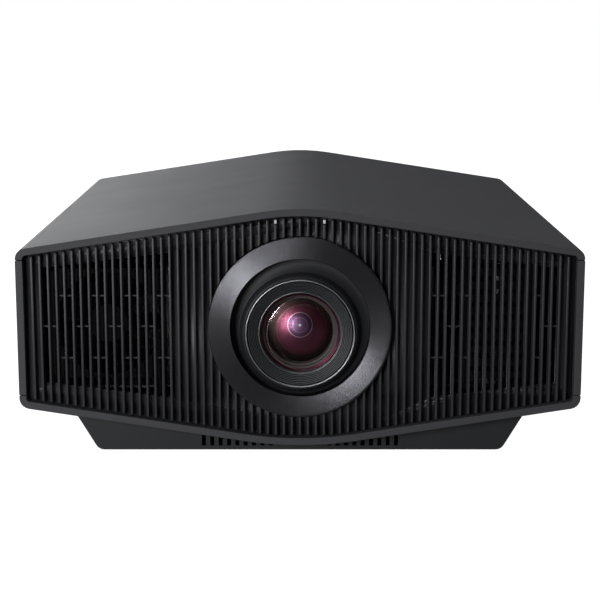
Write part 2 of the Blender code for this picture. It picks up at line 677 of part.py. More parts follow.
def build_fan(side, sign):
    centre = Vector((sign * FAN_X, FAN_FRONT_Y, FAN_Z))
    half = FAN_SIZE / 2
    outline = rounded([(u, v, 0.004) for u, v in rectangle((-half, -half), (half, half))], 2)
    frame = plate(f"exhaust_fan_{side}_frame", [outline, circle(FAN_BORE)], "Y", 0, FAN_DEPTH, BLACK, tuple(centre))
    struts = [
        ((-FAN_BORE - 0.002, FAN_DEPTH - 0.0040, -0.002), (FAN_BORE + 0.002, FAN_DEPTH - 0.0005, 0.002)),
        ((-0.002, FAN_DEPTH - 0.0042, -FAN_BORE - 0.002), (0.002, FAN_DEPTH - 0.0007, FAN_BORE + 0.002)),
    ]
    for i, (low, high) in enumerate(struts):
        span = (Vector(low) + centre, Vector(high) + centre)
        boolean(frame, boxes(f"fan_strut_{side}_{i}", [span]), "UNION")
    for i, edge in enumerate((FAN_SIZE / 2, -FAN_SIZE / 2 + 0.010)):
        x = sorted((centre.x + sign * edge, centre.x + sign * (edge - 0.010)))
        low = floor_z(max(abs(x[0]), abs(x[1])), WALL) + 0.0006
        leg = ((x[0], centre.y + 0.004, low), (x[1], centre.y + FAN_DEPTH - 0.004, FAN_Z - half + 0.002))
        boolean(frame, boxes(f"fan_leg_{side}_{i}", [leg]), "UNION")
    seat = rod(f"fan_seat_{side}", 0.015, "Y", centre, -FAN_DEPTH + 0.0008, -FAN_DEPTH + 0.0038)
    boolean(frame, seat, "UNION")

    rotor = rod(f"exhaust_fan_{side}_rotor", 0.016, "Y", centre, -0.0195, -0.0015, BLACK)
    mesh = bpy.data.meshes.new(f"fan_blades_{side}")
    shape = bmesh.new()
    for i in range(FAN_BLADES):
        made = bmesh.ops.create_cube(shape, size=1.0)["verts"]
        bmesh.ops.scale(shape, vec=(0.0265, 0.0210, 0.0014), verts=made)
        bmesh.ops.rotate(shape, verts=made, cent=(0, 0, 0), matrix=Matrix.Rotation(sign * math.radians(50), 3, "X"))
        bmesh.ops.translate(shape, verts=made, vec=(0.0280, 0, 0))
        bmesh.ops.rotate(
            shape, verts=made, cent=(0, 0, 0), matrix=Matrix.Rotation(2 * math.pi * i / FAN_BLADES, 3, "Y")
        )
    shape.to_mesh(mesh)
    shape.free()
    blades = bpy.data.objects.new(f"fan_blades_{side}", mesh)
    bpy.context.scene.collection.objects.link(blades)
    blades.location = centre + Vector((0, 0.0105, 0))
    boolean(rotor, finish(blades, None, cutter=True), "UNION")


def build_electronics():
    deck = CHASSIS_Z + 0.002 + GAP
    boxes("power_supply", [((0.072, 0.060, deck), (0.188, 0.222, 0.0840))], material=STEEL)
    boxes("main_board", [((0.1955, -0.020, deck), (0.1971, 0.215, 0.1600))], material=BOARD)


# ---------------------------------------------------------------- side bay


def key_outline(y, z, half, corner):
    return rounded([(u, v, corner) for u, v in rectangle((y - half, z - half), (y + half, z + half))], 2)


KEYS = (
    ("power_key", 0.016, 0.128, 0.0050),
    ("input_key", 0.016, 0.112, 0.0038),
    ("menu_key", 0.016, 0.096, 0.0038),
    ("up_key", PAD_Y, PAD_Z + KEY_PITCH, 0.0045),
    ("down_key", PAD_Y, PAD_Z - KEY_PITCH, 0.0045),
    ("back_key", PAD_Y - KEY_PITCH, PAD_Z, 0.0045),
    ("forward_key", PAD_Y + KEY_PITCH, PAD_Z, 0.0045),
    ("enter_key", PAD_Y, PAD_Z, 0.0050),
)

# name, y and z of its middle, half width and half height of the shell, then of the mouth
SOCKETS = (
    ("hdmi_socket_upper", 0.098, 0.128, 0.0080, 0.0038, 0.0070, 0.0024),
    ("hdmi_socket_lower", 0.098, 0.100, 0.0080, 0.0038, 0.0070, 0.0024),
    ("lan_socket", 0.136, 0.114, 0.0085, 0.0075, 0.0062, 0.0052),
)


def build_bay():
    margin = 0.003
    outer = rectangle((BAY_Y[0] - margin, BAY_Z[0] - margin), (BAY_Y[1] + margin, BAY_Z[1] + margin))
    holes = [key_outline(y, z, half + GAP, 0.0015) for _, y, z, half in KEYS]
    for _, y, z, half_y, half_z, _, _ in SOCKETS:
        holes.append(rectangle((y - half_y - GAP, z - half_z - GAP), (y + half_y + GAP, z + half_z + GAP)))
    face = BAY_FACE_X
    panel = plate("connector_panel", [outer, *holes], "X", face - 0.0025, face, BLACK)
    edge = HALF_WIDTH - WALL - GAP
    frame_outer = rectangle((BAY_Y[0] - margin + 0.0002, BAY_Z[0] - margin + 0.0002), (BAY_Y[1] + margin - 0.0002, BAY_Z[1] + margin - 0.0002))
    frame_inner = rectangle((BAY_Y[0] + 0.0002, BAY_Z[0] + 0.0002), (BAY_Y[1] - 0.0002, BAY_Z[1] - 0.0002))
    boolean(panel, plate("bay_frame", [frame_outer, frame_inner], "X", face - 0.001, edge), "UNION")
    for name, y, z, half in KEYS:
        key = plate(name, [key_outline(0, 0, half, 0.0014)], "X", -0.0060, 0.0012, RUBBER, (face, y, z))
        skirt = ((face - 0.0085, y - half - 0.001, z - half - 0.001), (face - 0.0055, y + half + 0.001, z + half + 0.001))
        stem = ((face - 0.0215, y - 0.0015, z - 0.0015), (face - 0.0080, y + 0.0015, z + 0.0015))
        boolean(key, boxes(name + "_skirt", [skirt]), "UNION")
        boolean(key, boxes(name + "_stem", [stem]), "UNION")
    for name, y, z, half_y, half_z, mouth_y, mouth_z in SOCKETS:
        socket = boxes(name, [((0.1976, y - half_y, z - half_z), (face + 0.0005, y + half_y, z + half_z))], material=STEEL)
        boolean(socket, boxes(name + "_mouth", [((face - 0.012, y - mouth_y, z - mouth_z), (face + 0.01, y + mouth_y, z + mouth_z))]))


# ---------------------------------------------------------------- base tray, feet and filter


def tray_side_x(z, inset=0.0):
    return TRAY_HALF - inset + (z - TRAY_Z) * TRAY_FLARE


def build_tray():
    top_gap = GAP * math.hypot(1, SLOPE)
    side_x = (tray_side_x(KEEL_Z - top_gap)) / (1 - SLOPE * TRAY_FLARE)
    side_z = KEEL_Z - top_gap + SLOPE * side_x
    corners = [
        (0, KEEL_Z - top_gap, KEEL_RADIUS + GAP),
        (-side_x, side_z, 0),
        (-TRAY_HALF, TRAY_Z, 0.008),
        (TRAY_HALF, TRAY_Z, 0.008),
        (side_x, side_z, 0),
    ]
    tray = plate("base_tray", [rounded(corners)], "Y", TRAY_FRONT_Y, TRAY_REAR_Y, TRAY)
    floor = TRAY_Z + TRAY_WALL
    inner_top = 0.07
    inner = [
        (-tray_side_x(inner_top, 0.003), inner_top, 0),
        (-tray_side_x(floor, 0.003), floor, 0.005),
        (tray_side_x(floor, 0.003), floor, 0.005),
        (tray_side_x(inner_top, 0.003), inner_top, 0),
    ]
    boolean(tray, plate("tray_hollow", [rounded(inner, 4)], "Y", TRAY_FRONT_Y + TRAY_WALL, TRAY_REAR_Y - TRAY_WALL))
    slots = []
    for sign in (-1, 1):
        for i in range(9):
            x = sign * (0.0245 + i * 0.00697)
            slots.append(
                ((x - 0.0017, TRAY_FRONT_Y - 0.01, 0.0084), (x + 0.0017, TRAY_FRONT_Y + 0.01, floor_z(x, 0) - 0.0022))
            )
    boolean(tray, boxes("tray_vents", slots))
    for sign, side in ((-1, "left"), (1, "right")):
        foot = Vector((sign * FOOT_X, FRONT_FOOT_Y, 0))
        boolean(tray, rod(f"foot_boss_{side}", 0.009, "Z", foot, floor - 0.001, 0.0270, steps=20), "UNION")
        boolean(tray, rod(f"foot_hole_{side}", STEM_RADIUS + GAP + 0.0001, "Z", foot, -0.01, 0.05, steps=20))
        for i, y in enumerate(CEILING_Y):
            pad = Vector((sign * CEILING_X, y, 0))
            boolean(tray, rod(f"ceiling_boss_{side}_{i}", 0.009, "Z", pad, TRAY_Z + 0.001, 0.0170, steps=16), "UNION")
            boolean(tray, rod(f"ceiling_hole_{side}_{i}", 0.0025, "Z", pad, -0.01, 0.0150, steps=12))
    low, high = DRAWER_Z
    opening = boxes(
        "drawer_opening",
        [((-0.21, DRAWER_Y[0] - GAP, low - GAP), (-0.15, DRAWER_Y[1] + GAP, high + GAP))],
    )
    boolean(tray, opening)


def build_filter_drawer():
    low, high = DRAWER_Z
    outline = [
        (-tray_side_x(low), low),
        (DRAWER_INNER_X, low),
        (DRAWER_INNER_X, high),
        (-tray_side_x(high), high),
    ]
    frame = plate("filter_drawer", [outline], "Y", DRAWER_Y[0], DRAWER_Y[1], BLACK)
    pocket_low, pocket_high = (-0.156, DRAWER_Y[0] + 0.004), (DRAWER_INNER_X - 0.004, DRAWER_Y[1] - 0.004)
    boolean(frame, boxes("filter_pocket", [((*pocket_low, 0.0095), (*pocket_high, 0.03))]))
    windows = []
    for i in range(4):
        x = pocket_low[0] + 0.003 + i * 0.0158
        windows.append(((x, pocket_low[1] + 0.004, 0.0), (x + 0.0128, pocket_high[1] - 0.004, 0.0100)))
    boolean(frame, boxes("filter_windows", windows))
    grip = ((-0.190, -0.045, 0.0115), (-0.1705, -0.005, 0.0162))
    boolean(frame, boxes("drawer_grip", [grip]))
    pleats = 18
    width = (pocket_high[0] - pocket_low[0] - 2 * GAP) / pleats
    start = pocket_low[0] + GAP
    under, over = 0.0095 + GAP, high - 0.0006
    lower = [(start + i * width, under if i % 2 == 0 else under + 0.0060) for i in range(pleats + 1)]
    upper = [(x, z + over - under - 0.0060) for x, z in lower]
    plate("air_filter", [[*lower, *reversed(upper)]], "Y", pocket_low[1] + GAP, pocket_high[1] - GAP, FOAM)


def build_feet():
    for sign, side in ((-1, "left"), (1, "right")):
        foot = (sign * FOOT_X, FRONT_FOOT_Y, 0)
        rod(f"front_foot_{side}_stem", STEM_RADIUS, "Z", foot, 0.0022, 0.0250, STEEL)
        profile = [
            (0, 0.0019),
            (STEM_RADIUS + GAP, 0.0019),
            (STEM_RADIUS + GAP, 0.0045),
            (FOOT_RADIUS - 0.0008, 0.0045),
            (FOOT_RADIUS, 0.0037),
            (FOOT_RADIUS, 0.0012),
            (FOOT_RADIUS - 0.0015, 0.0),
            (0, 0.0),
        ]
        turned(f"front_foot_{side}_knob", profile, "Z", foot, RUBBER, steps=30)
        rear = (sign * FOOT_X, REAR_FOOT_Y, 0)
        profile = [(0, TRAY_Z - GAP), (0.0120, TRAY_Z - GAP), (0.0120, 0.0010), (0.0110, 0.0), (0, 0.0)]
        turned(f"rear_foot_{side}", profile, "Z", rear, RUBBER, steps=24)


build_casing()
build_grille()
build_exhaust_screen()
build_rear_panel()
build_ring_and_mask()
build_barrel()
build_baffle_and_glass()
build_lens_gears()
build_shift()
build_engine()
for fan_side, fan_sign in (("left", -1), ("right", 1)):
    build_fan(fan_side, fan_sign)
build_electronics()
build_bay()
build_tray()
build_filter_drawer()
build_feet()
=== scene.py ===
import json
import math

import bmesh
import bpy
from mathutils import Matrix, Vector

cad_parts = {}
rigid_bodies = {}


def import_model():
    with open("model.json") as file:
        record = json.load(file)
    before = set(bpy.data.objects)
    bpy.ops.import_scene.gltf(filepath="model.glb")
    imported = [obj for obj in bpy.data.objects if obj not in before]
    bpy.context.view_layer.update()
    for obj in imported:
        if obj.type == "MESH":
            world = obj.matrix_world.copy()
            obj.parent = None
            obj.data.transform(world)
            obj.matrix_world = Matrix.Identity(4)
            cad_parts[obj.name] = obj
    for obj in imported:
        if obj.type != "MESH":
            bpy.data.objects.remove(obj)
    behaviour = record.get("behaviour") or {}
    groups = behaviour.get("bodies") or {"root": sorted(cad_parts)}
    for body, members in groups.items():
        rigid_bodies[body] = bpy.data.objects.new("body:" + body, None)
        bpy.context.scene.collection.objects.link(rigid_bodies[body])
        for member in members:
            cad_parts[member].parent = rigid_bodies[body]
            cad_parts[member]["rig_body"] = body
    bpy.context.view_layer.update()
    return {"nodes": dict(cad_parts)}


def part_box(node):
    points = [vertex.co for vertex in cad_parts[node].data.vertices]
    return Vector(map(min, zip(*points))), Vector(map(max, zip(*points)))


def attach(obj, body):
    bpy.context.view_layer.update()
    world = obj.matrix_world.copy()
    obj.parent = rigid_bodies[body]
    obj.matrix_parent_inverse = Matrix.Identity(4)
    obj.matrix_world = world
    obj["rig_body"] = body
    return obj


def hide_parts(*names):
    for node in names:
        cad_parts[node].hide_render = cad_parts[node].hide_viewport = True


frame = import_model()
print("frame loaded:", len(frame["nodes"]), "nodes")


def middleOf(node):
    low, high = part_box(node)
    return (low + high) / 2


ringCentre = middleOf("lens_ring")
lensCentre = middleOf("front_element")
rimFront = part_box("top_cover")[0].y  # front plane of the casing's rim


# Working on a mesh

meshLimits = {"weld": 0.000002, "cadWeld": 0.000005, "flatAngle": 0.6, "cadEdgeAngle": 28}


def deselectAll():
    if bpy.context.mode != "OBJECT":
        bpy.ops.object.mode_set(mode="OBJECT")
    for item in list(bpy.context.selected_objects):
        item.select_set(False)


def makeActive(piece):
    deselectAll()
    piece.select_set(True)
    bpy.context.view_layer.objects.active = piece


def startEdit(piece, mode="FACE"):
    makeActive(piece)
    bpy.ops.object.mode_set(mode="EDIT")
    bpy.ops.mesh.select_mode(type=mode)
    bpy.ops.mesh.select_all(action="SELECT")


def endEdit():
    bpy.ops.object.mode_set(mode="OBJECT")


def pick(piece, mode, rule):  # in edit mode: selects only what fits the rule
    bpy.ops.mesh.select_mode(type=mode)
    bpy.ops.mesh.select_all(action="DESELECT")
    shape = bmesh.from_edit_mesh(piece.data)
    for item in {"VERT": shape.verts, "EDGE": shape.edges}[mode]:
        if rule(item):
            item.select_set(True)
    shape.select_flush_mode()
    bmesh.update_edit_mesh(piece.data)


def tidyMesh(piece):
    startEdit(piece)
    bpy.ops.mesh.remove_doubles(threshold=meshLimits["weld"])
    bpy.ops.mesh.normals_make_consistent(inside=False)
    endEdit()


def addCube(name, low, high):
    deselectAll()
    low, high = Vector(low), Vector(high)
    bpy.ops.mesh.primitive_cube_add(size=1, location=(low + high) / 2)
    piece = bpy.context.object
    piece.name = piece.data.name = name
    piece.scale = high - low
    bpy.ops.object.transform_apply(location=True, rotation=True, scale=True)
    return piece


def drawLine(name, points):  # a line of edges, pulled out of one vertex point by point
    deselectAll()
    bpy.ops.mesh.primitive_plane_add(size=0.001, location=points[0])
    piece = bpy.context.object
    piece.name = piece.data.name = name
    bpy.ops.object.transform_apply(location=True, rotation=True, scale=True)
    startEdit(piece, "VERT")
    bpy.ops.mesh.merge(type="CENTER")
    here = Vector(points[0])
    for point in points[1:]:
        step = Vector(point) - here
        bpy.ops.mesh.extrude_vertices_move(TRANSFORM_OT_translate={"value": step})
        here = Vector(point)
    return piece


def turned(name, centre, profile, steps, axis="Y", closed=False):
    # profile: (radius, distance along the axis); it starts and ends on the axis, or is closed
    x, y, z = centre
    place = {
        "X": lambda r, d: (x + d, y + r, z),
        "Y": lambda r, d: (x + r, y + d, z),
    }[axis]
    points = [place(r, d) for r, d in profile]
    if closed:
        points.append(points[0])
    piece = drawLine(name, points)
    bpy.ops.mesh.select_all(action="SELECT")
    spinAxis = tuple(1.0 if letter == axis else 0.0 for letter in "XYZ")
    bpy.ops.mesh.spin(steps=steps, angle=2 * math.pi, center=(x, y, z), axis=spinAxis)
    endEdit()
    tidyMesh(piece)
    return piece


def extruded(name, outline, thickness):  # a flat outline, filled and pulled out
    piece = drawLine(name, [*outline, outline[0]])
    bpy.ops.mesh.select_all(action="SELECT")
    bpy.ops.mesh.remove_doubles(threshold=meshLimits["weld"])
    bpy.ops.mesh.select_all(action="SELECT")
    bpy.ops.mesh.edge_face_add()
    bpy.ops.mesh.extrude_region_move(TRANSFORM_OT_translate={"value": thickness})
    endEdit()
    tidyMesh(piece)
    return piece


def applyModifier(piece, kind, **settings):
    makeActive(piece)
    modifier = piece.modifiers.new(kind.lower(), kind)
    for key, value in settings.items():
        setattr(modifier, key, value)
    bpy.ops.object.modifier_apply(modifier=modifier.name)


def bevel(piece, width, segments=2, angle=30):
    limit = {"limit_method": "ANGLE", "angle_limit": math.radians(angle)}
    applyModifier(piece, "BEVEL", width=width, segments=segments, **limit)


def cut(piece, *cutters):
    for cutter in cutters:
        applyModifier(piece, "BOOLEAN", operation="DIFFERENCE", solver="EXACT", object=cutter)
        bpy.data.objects.remove(cutter)


def smooth(piece, angle=35):
    makeActive(piece)
    bpy.ops.object.shade_smooth_by_angle(angle=math.radians(angle))


def copyOf(piece, name):
    twin = piece.copy()
    twin.data = piece.data.copy()
    twin.name = twin.data.name = name
    bpy.context.scene.collection.objects.link(twin)
    return twin


def joined(name, pieces):
    deselectAll()
    for piece in pieces:
        piece.select_set(True)
    bpy.context.view_layer.objects.active = pieces[0]
    bpy.ops.object.join()
    piece = bpy.context.object
    piece.name = piece.data.name = name
    return piece


def refined(node, name, edge, segments=2):
    # a copy of a CAD node's mesh, sewn together, with its flats dissolved and its edges eased
    piece = copyOf(frame["nodes"][node], name)
    piece.parent = None
    for key in list(piece.keys()):
        del piece[key]
    startEdit(piece)
    bpy.ops.mesh.remove_doubles(threshold=meshLimits["cadWeld"])
    bpy.ops.mesh.customdata_custom_splitnormals_clear()
    bpy.ops.mesh.dissolve_limited(angle_limit=math.radians(meshLimits["flatAngle"]))
    endEdit()
    if edge:
        bevel(piece, edge, segments, meshLimits["cadEdgeAngle"])
    smooth(piece)
    applyModifier(piece, "WEIGHTED_NORMAL", keep_sharp=True)  # keeps the flats looking flat
    return piece


def titled(node):  # top_cover becomes topCover
    first, *rest = node.split("_")
    return first + "".join(word.title() for word in rest)


def placed(piece, spot):
    makeActive(piece)
    piece.location = spot
    bpy.ops.object.transform_apply(location=True, rotation=True, scale=True)
    return piece


def fit(piece, material, slot, *nodes, body=None):  # paints a piece and hangs it on its body
    piece.data.materials.clear()
    piece.data.materials.append(material)
    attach(piece, body or frame["nodes"][nodes[0]]["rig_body"])
    if nodes:
        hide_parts(*nodes)
    return piece


# Working on a material

class Wire:  # an output socket; sums written with it become Math nodes
    def __init__(self, paint, socket):
        self.paint, self.socket = paint, socket

    def maths(self, operation, first, second=0.0):
        return self.paint.node("Math", {"operation": operation}, {0: first, 1: second})

    def __add__(self, other):
        return self.maths("ADD", self, other)

    def __sub__(self, other):
        return self.maths("SUBTRACT", self, other)

    def __rsub__(self, other):
        return self.maths("SUBTRACT", other, self)

    def __mul__(self, other):
        return self.maths("MULTIPLY", self, other)

    def __truediv__(self, other):
        return self.maths("DIVIDE", self, other)

    def __pow__(self, other):
        return self.maths("POWER", self, other)

    def __gt__(self, other):
        return self.maths("GREATER_THAN", self, other)

    def __lt__(self, other):
        return self.maths("LESS_THAN", self, other)

    def sine(self):
        return self.maths("SINE", self)

    def size(self):
        return self.maths("ABSOLUTE", self)

    def modulo(self, step):
        return self.maths("FLOORED_MODULO", self, step)

    def clamped(self):
        return self.maths("MINIMUM", self.maths("MAXIMUM", self, 0.0), 1.0)

    def circle(self, radius, width):  # on a distance: 1 at the radius, falling to 0 over the width
        return (1 - (self - radius).size() / width).clamped()


class Paint:
    def __init__(self, name, **shader):
        self.material = bpy.data.materials.new(name)
        self.material.use_nodes = True
        self.tree = self.material.node_tree
        self.shader = self.tree.nodes["Principled BSDF"]
        for key, value in shader.items():
            self.set(key, value)

    def set(self, key, value):
        socket = self.shader.inputs[{"specular": "Specular IOR Level"}.get(key, key)]
        if isinstance(value, Wire):
            self.tree.links.new(value.socket, socket)
        elif isinstance(value, tuple):
            socket.default_value = (*value, 1.0)
        else:
            socket.default_value = value

    def node(self, kind, settings=None, inputs=None, output=0):
        made = self.tree.nodes.new("ShaderNode" + kind)
        for key, value in (settings or {}).items():
            if key == "stops":
                ramp = made.color_ramp
                while len(ramp.elements) < len(value):
                    ramp.elements.new(0.5)
                for element, (position, colour) in zip(ramp.elements, value):
                    element.position, element.color = position, (*colour, 1.0)
            else:
                setattr(made, key, value)
        for key, value in (inputs or {}).items():
            if isinstance(value, Wire):
                self.tree.links.new(value.socket, made.inputs[key])
            else:
                made.inputs[key].default_value = value
        return Wire(self, made.outputs[output])

    def place(self):
        return self.node("TexCoord", output="Object")

    def noise(self, scale, detail, stretch=(1, 1, 1)):
        spot = self.node("Mapping", inputs={"Vector": self.place(), "Scale": stretch})
        return self.node("TexNoise", inputs={"Vector": spot, "Scale": scale, "Detail": detail})

    def wear(self, distance, scale):  # noise that changes only with the distance
        settings = {"W": distance, "Scale": scale, "Detail": 2.0}
        return self.node("TexNoise", {"noise_dimensions": "1D"}, settings)

    def cells(self, scale):
        inputs = {"Vector": self.place(), "Scale": scale}
        return self.node("TexVoronoi", inputs=inputs, output="Distance")

    def mix(self, factor, first, second):
        first, second = ((*c, 1.0) if isinstance(c, tuple) else c for c in (first, second))
        return self.node("Mix", {"data_type": "RGBA"}, {0: factor, 6: first, 7: second}, output=2)

    def bump(self, height, distance):
        inputs = {"Height": height, "Distance": distance, "Strength": 1.0}
        self.set("Normal", self.node("Bump", inputs=inputs))

    def part(self, axis):  # one of the place's numbers
        return self.node("SeparateXYZ", inputs={0: self.place()}, output="XYZ".index(axis))

    def fromAxis(self, centre):  # distance from the axis along Y through the centre
        ends = {0: self.place(), 1: tuple(centre)}
        spot = self.node("VectorMath", {"operation": "SUBTRACT"}, ends)
        flat = self.node("VectorMath", {"operation": "MULTIPLY"}, {0: spot, 1: (1.0, 0.0, 1.0)})
        return self.node("VectorMath", {"operation": "LENGTH"}, {0: flat}, output="Value")


def shades(tone, drift):  # a darker and a lighter one
    return tuple(c * (1 - drift) for c in tone), tuple(min(1.0, c * (1 + drift)) for c in tone)


def mouldedPlastic(name, tone, roughness, grain, specular=0.3, drift=0.12, relief=0.00004):
    paint = Paint(name, specular=specular)
    cloud = paint.noise(14, 3)
    spark = paint.noise(grain, 2)
    paint.set("Base Color", paint.mix(cloud * 0.5 + spark * 0.5, *shades(tone, drift)))
    paint.set("Roughness", (cloud * 0.10 + spark * 0.08 + (roughness - 0.09)).clamped())
    paint.bump(spark, relief)
    return paint.material


def turnedMetal(name, centre, tone, grain, depth, roughness):
    # the lathe's fine rings, which spread a light along the radius
    paint = Paint(name, Metallic=1.0)
    rings = paint.wear(paint.fromAxis(centre), grain)
    cloud = paint.noise(40, 2)
    paint.set("Base Color", paint.mix(rings * 0.7 + cloud * 0.3, *shades(tone, 0.15)))
    paint.set("Roughness", (rings * 0.10 + cloud * 0.05 + (roughness - 0.08)).clamped())
    paint.bump(rings, depth)
    return paint.material


def spunMetal(name, centre, tone, pitch=0.0005, slope=0.40, roughness=0.25):
    # even, very fine grooves round the axis, so a light shows as a wedge on each side
    paint = Paint(name, Metallic=1.0)
    radius = paint.fromAxis(centre)
    grooves = (radius * (2 * math.pi / pitch)).sine()
    worn = paint.wear(radius, 1400)
    cloud = paint.noise(30, 2)
    paint.set("Base Color", paint.mix(worn * 0.6 + cloud * 0.4, *shades(tone, 0.10)))
    paint.set("Roughness", (worn * 0.06 + cloud * 0.04 + (roughness - 0.05)).clamped())
    paint.bump(grooves, slope * pitch / (2 * math.pi))
    return paint.material


def grooveShadedBlack(name, tone):  # blackened metal, with painted shade in the bottoms of its grooves and painted light on their crests
    paint = Paint(name, Metallic=0.9)
    start = baffleSizes["inner"] + baffleSizes["border"]
    end = baffleSizes["outer"] - baffleSizes["border"]
    pitch = (end - start) / baffleSizes["grooves"]
    across = ((paint.fromAxis(lensCentre) - start) / pitch).modulo(1.0)
    crest = (1 - ((across - 0.5).size() - 0.20) * 12.0).clamped()
    fine = paint.noise(2600, 2)
    # painted shade for the groove bottoms, painted light for the crests
    dark, light = tuple(c * 0.12 for c in tone), tuple(c * 1.9 for c in tone)
    paint.set("Base Color", paint.mix(crest, dark, light))
    paint.set("Roughness", fine * 0.1 + 0.34)
    paint.bump(fine, 0.00001)
    return paint.material


def drawnMetal(name, tone, roughness=0.35, stretch=(1, 1, 40)):  # brushed along one way
    paint = Paint(name, Metallic=1.0)
    brushed = paint.noise(700, 3, tuple(1 / s if s > 1 else 1 for s in stretch))
    cloud = paint.noise(35, 2)
    paint.set("Base Color", paint.mix(brushed * 0.6 + cloud * 0.4, *shades(tone, 0.14)))
    paint.set("Roughness", (brushed * 0.16 + cloud * 0.08 + (roughness - 0.12)).clamped())
    paint.bump(brushed, 0.00003)
    return paint.material


def castAlloy(name, tone, roughness):
    paint = Paint(name, Metallic=0.85)
    skin = paint.noise(1300, 3)
    cloud = paint.noise(22, 3)
    paint.set("Base Color", paint.mix(skin * 0.4 + cloud * 0.6, *shades(tone, 0.2)))
    paint.set("Roughness", (skin * 0.14 + cloud * 0.12 + (roughness - 0.13)).clamped())
    paint.bump(skin, 0.00010)
    return paint.material


def feltedRubber(name, tone):
    paint = Paint(name, specular=0.25)
    pores = paint.cells(1500)
    cloud = paint.noise(60, 2)
    paint.set("Base Color", paint.mix(pores * 0.6 + cloud * 0.4, *shades(tone, 0.25)))
    paint.set("Roughness", (cloud * 0.12 + 0.72).clamped())
    paint.bump(pores, 0.00008)
    return paint.material


def openFoam(name, tone):
    paint = Paint(name, specular=0.1, Roughness=0.95)
    cells = paint.cells(900)
    walls = (cells * 1.6).clamped()
    paint.set("Base Color", paint.mix(walls, *shades(tone, 0.55)))
    paint.bump(1 - walls, 0.0006)
    return paint.material


def circuitBoard(name):
    paint = Paint(name, specular=0.5)
    along, across = paint.part("X"), paint.part("Y")
    lanes = ((along * 5200).sine() > 0.72) + ((across * 4300).sine() > 0.80)
    blocks = paint.cells(90) > 0.42
    tracks = (lanes * blocks).clamped()
    pads = paint.cells(420) < 0.10
    base = paint.mix(tracks, (0.010, 0.060, 0.030), (0.020, 0.105, 0.052))
    paint.set("Base Color", paint.mix(pads, base, (0.45, 0.38, 0.22)))
    paint.set("Roughness", 0.45 - pads * 0.2)
    paint.set("Metallic", pads)
    paint.bump(tracks + pads, 0.00004)
    return paint.material


def phosphorCoat(name, centre):
    paint = Paint(name, Roughness=0.35)
    radius = paint.fromAxis(centre)
    band = (radius > wheelBand["inner"]) * (radius < wheelBand["outer"])
    spark = paint.noise(2500, 2)
    yellow = paint.mix(spark, (0.50, 0.38, 0.03), (0.72, 0.58, 0.06))
    paint.set("Base Color", paint.mix(band, (0.62, 0.62, 0.63), yellow))
    paint.set("Metallic", 1 - band)
    paint.bump(spark, 0.00003)
    return paint.material


def gildedMetal(name, tone):
    paint = Paint(name, Metallic=1.0)
    cloud = paint.noise(900, 2)
    paint.set("Base Color", paint.mix(cloud, *shades(tone, 0.12)))
    paint.set("Roughness", cloud * 0.15 + 0.2)
    paint.bump(cloud, 0.00001)
    return paint.material


baffleSizes = {"inner": 0.0336, "outer": 0.0430, "border": 0.0003, "grooves": 7, "depth": 0.0008}
wheelBand = {"inner": 0.019, "outer": 0.027}  # the coated part of the phosphor wheel

# name, tone, roughness, grain, and for some specular, drift and relief
plastics = {
    "shell": ("shellPlastic", (0.0150, 0.0152, 0.0178), 0.66, 2400, 0.18),
    "grille": ("grillePlastic", (0.0110, 0.0110, 0.0130), 0.42, 3000, 0.15),
    "tray": ("trayPlastic", (0.0070, 0.0074, 0.0082), 0.52, 2400, 0.12),
    "black": ("blackPlastic", (0.0045, 0.0045, 0.0050), 0.5, 3200, 0.25),
    "deep": ("fanPlastic", (0.0014, 0.0014, 0.0016), 0.6, 3200, 0.06),
    "mask": ("maskPlastic", (0.0068, 0.0070, 0.0081), 0.46, 3600, 0.12),
    "key": ("keyPlastic", (0.022, 0.022, 0.024), 0.42, 3600),
    "mark": ("markPaint", (0.34, 0.34, 0.35), 0.6, 5000, 0.3, 0.06, 0.00001),
    "nylon": ("gearNylon", (0.62, 0.60, 0.54), 0.4, 1500, 0.3, 0.05),
    "well": ("wellBlack", (0.0150, 0.0125, 0.0115), 0.55, 3600, 0.15),
}

looks = {
    **{look: mouldedPlastic(*row) for look, row in plastics.items()},
    "ring": spunMetal("ringMetal", ringCentre, (0.036, 0.036, 0.0395)),
    "barrel": turnedMetal("barrelMetal", lensCentre, (0.022, 0.022, 0.024), 1800, 0.00008, 0.42),
    "baffle": grooveShadedBlack("baffleBlack", (0.018, 0.0192, 0.0198)),
    "rim": spunMetal("rimMetal", lensCentre, (0.12, 0.12, 0.127), 0.0004, 0.35, 0.36),
    "innerRim": spunMetal("innerRimMetal", lensCentre, (0.085, 0.088, 0.090), 0.0003, 0.3, 0.36),
    "screw": drawnMetal("screwSteel", (0.06, 0.06, 0.065), 0.36, (1, 20, 1)),
    "alloy": castAlloy("castAlloy", (0.36, 0.36, 0.37), 0.5),
    "steel": drawnMetal("drawnSteel", (0.46, 0.46, 0.47)),
    "bareAlloy": drawnMetal("sawnAlloy", (0.58, 0.58, 0.60), 0.32, (1, 40, 1)),
    "socket": drawnMetal("platedShell", (0.40, 0.40, 0.42), 0.3, (40, 1, 1)),
    "gold": gildedMetal("contactGold", (0.75, 0.52, 0.20)),
    "rubber": feltedRubber("footRubber", (0.012, 0.012, 0.013)),
    "foam": openFoam("filterFoam", (0.05, 0.05, 0.055)),
    "board": circuitBoard("greenBoard"),
    "phosphor": phosphorCoat("phosphorCoat", middleOf("phosphor_wheel")),
    "seat": turnedMetal("seatMetal", lensCentre, (0.050, 0.010, 0.020), 2600, 0.00002, 0.34),
}
print("materials ready")


# Casing

shellEdges = {  # how wide each edge is eased, and in how many steps
    "top_cover": (0.0007, 3),
    "bottom_case": (0.0007, 3),
    "side_panel_left": (0.0004, 3),
    "side_panel_right": (0.0004, 3),
    "rear_panel": (0.0003, 2),
}

for node, (edge, segments) in shellEdges.items():
    fit(refined(node, titled(node), edge, segments), looks["shell"], "shell", node)
print("casing done")


# Grille: one rib is shaped, and every other rib is a copy drawn out to its own length

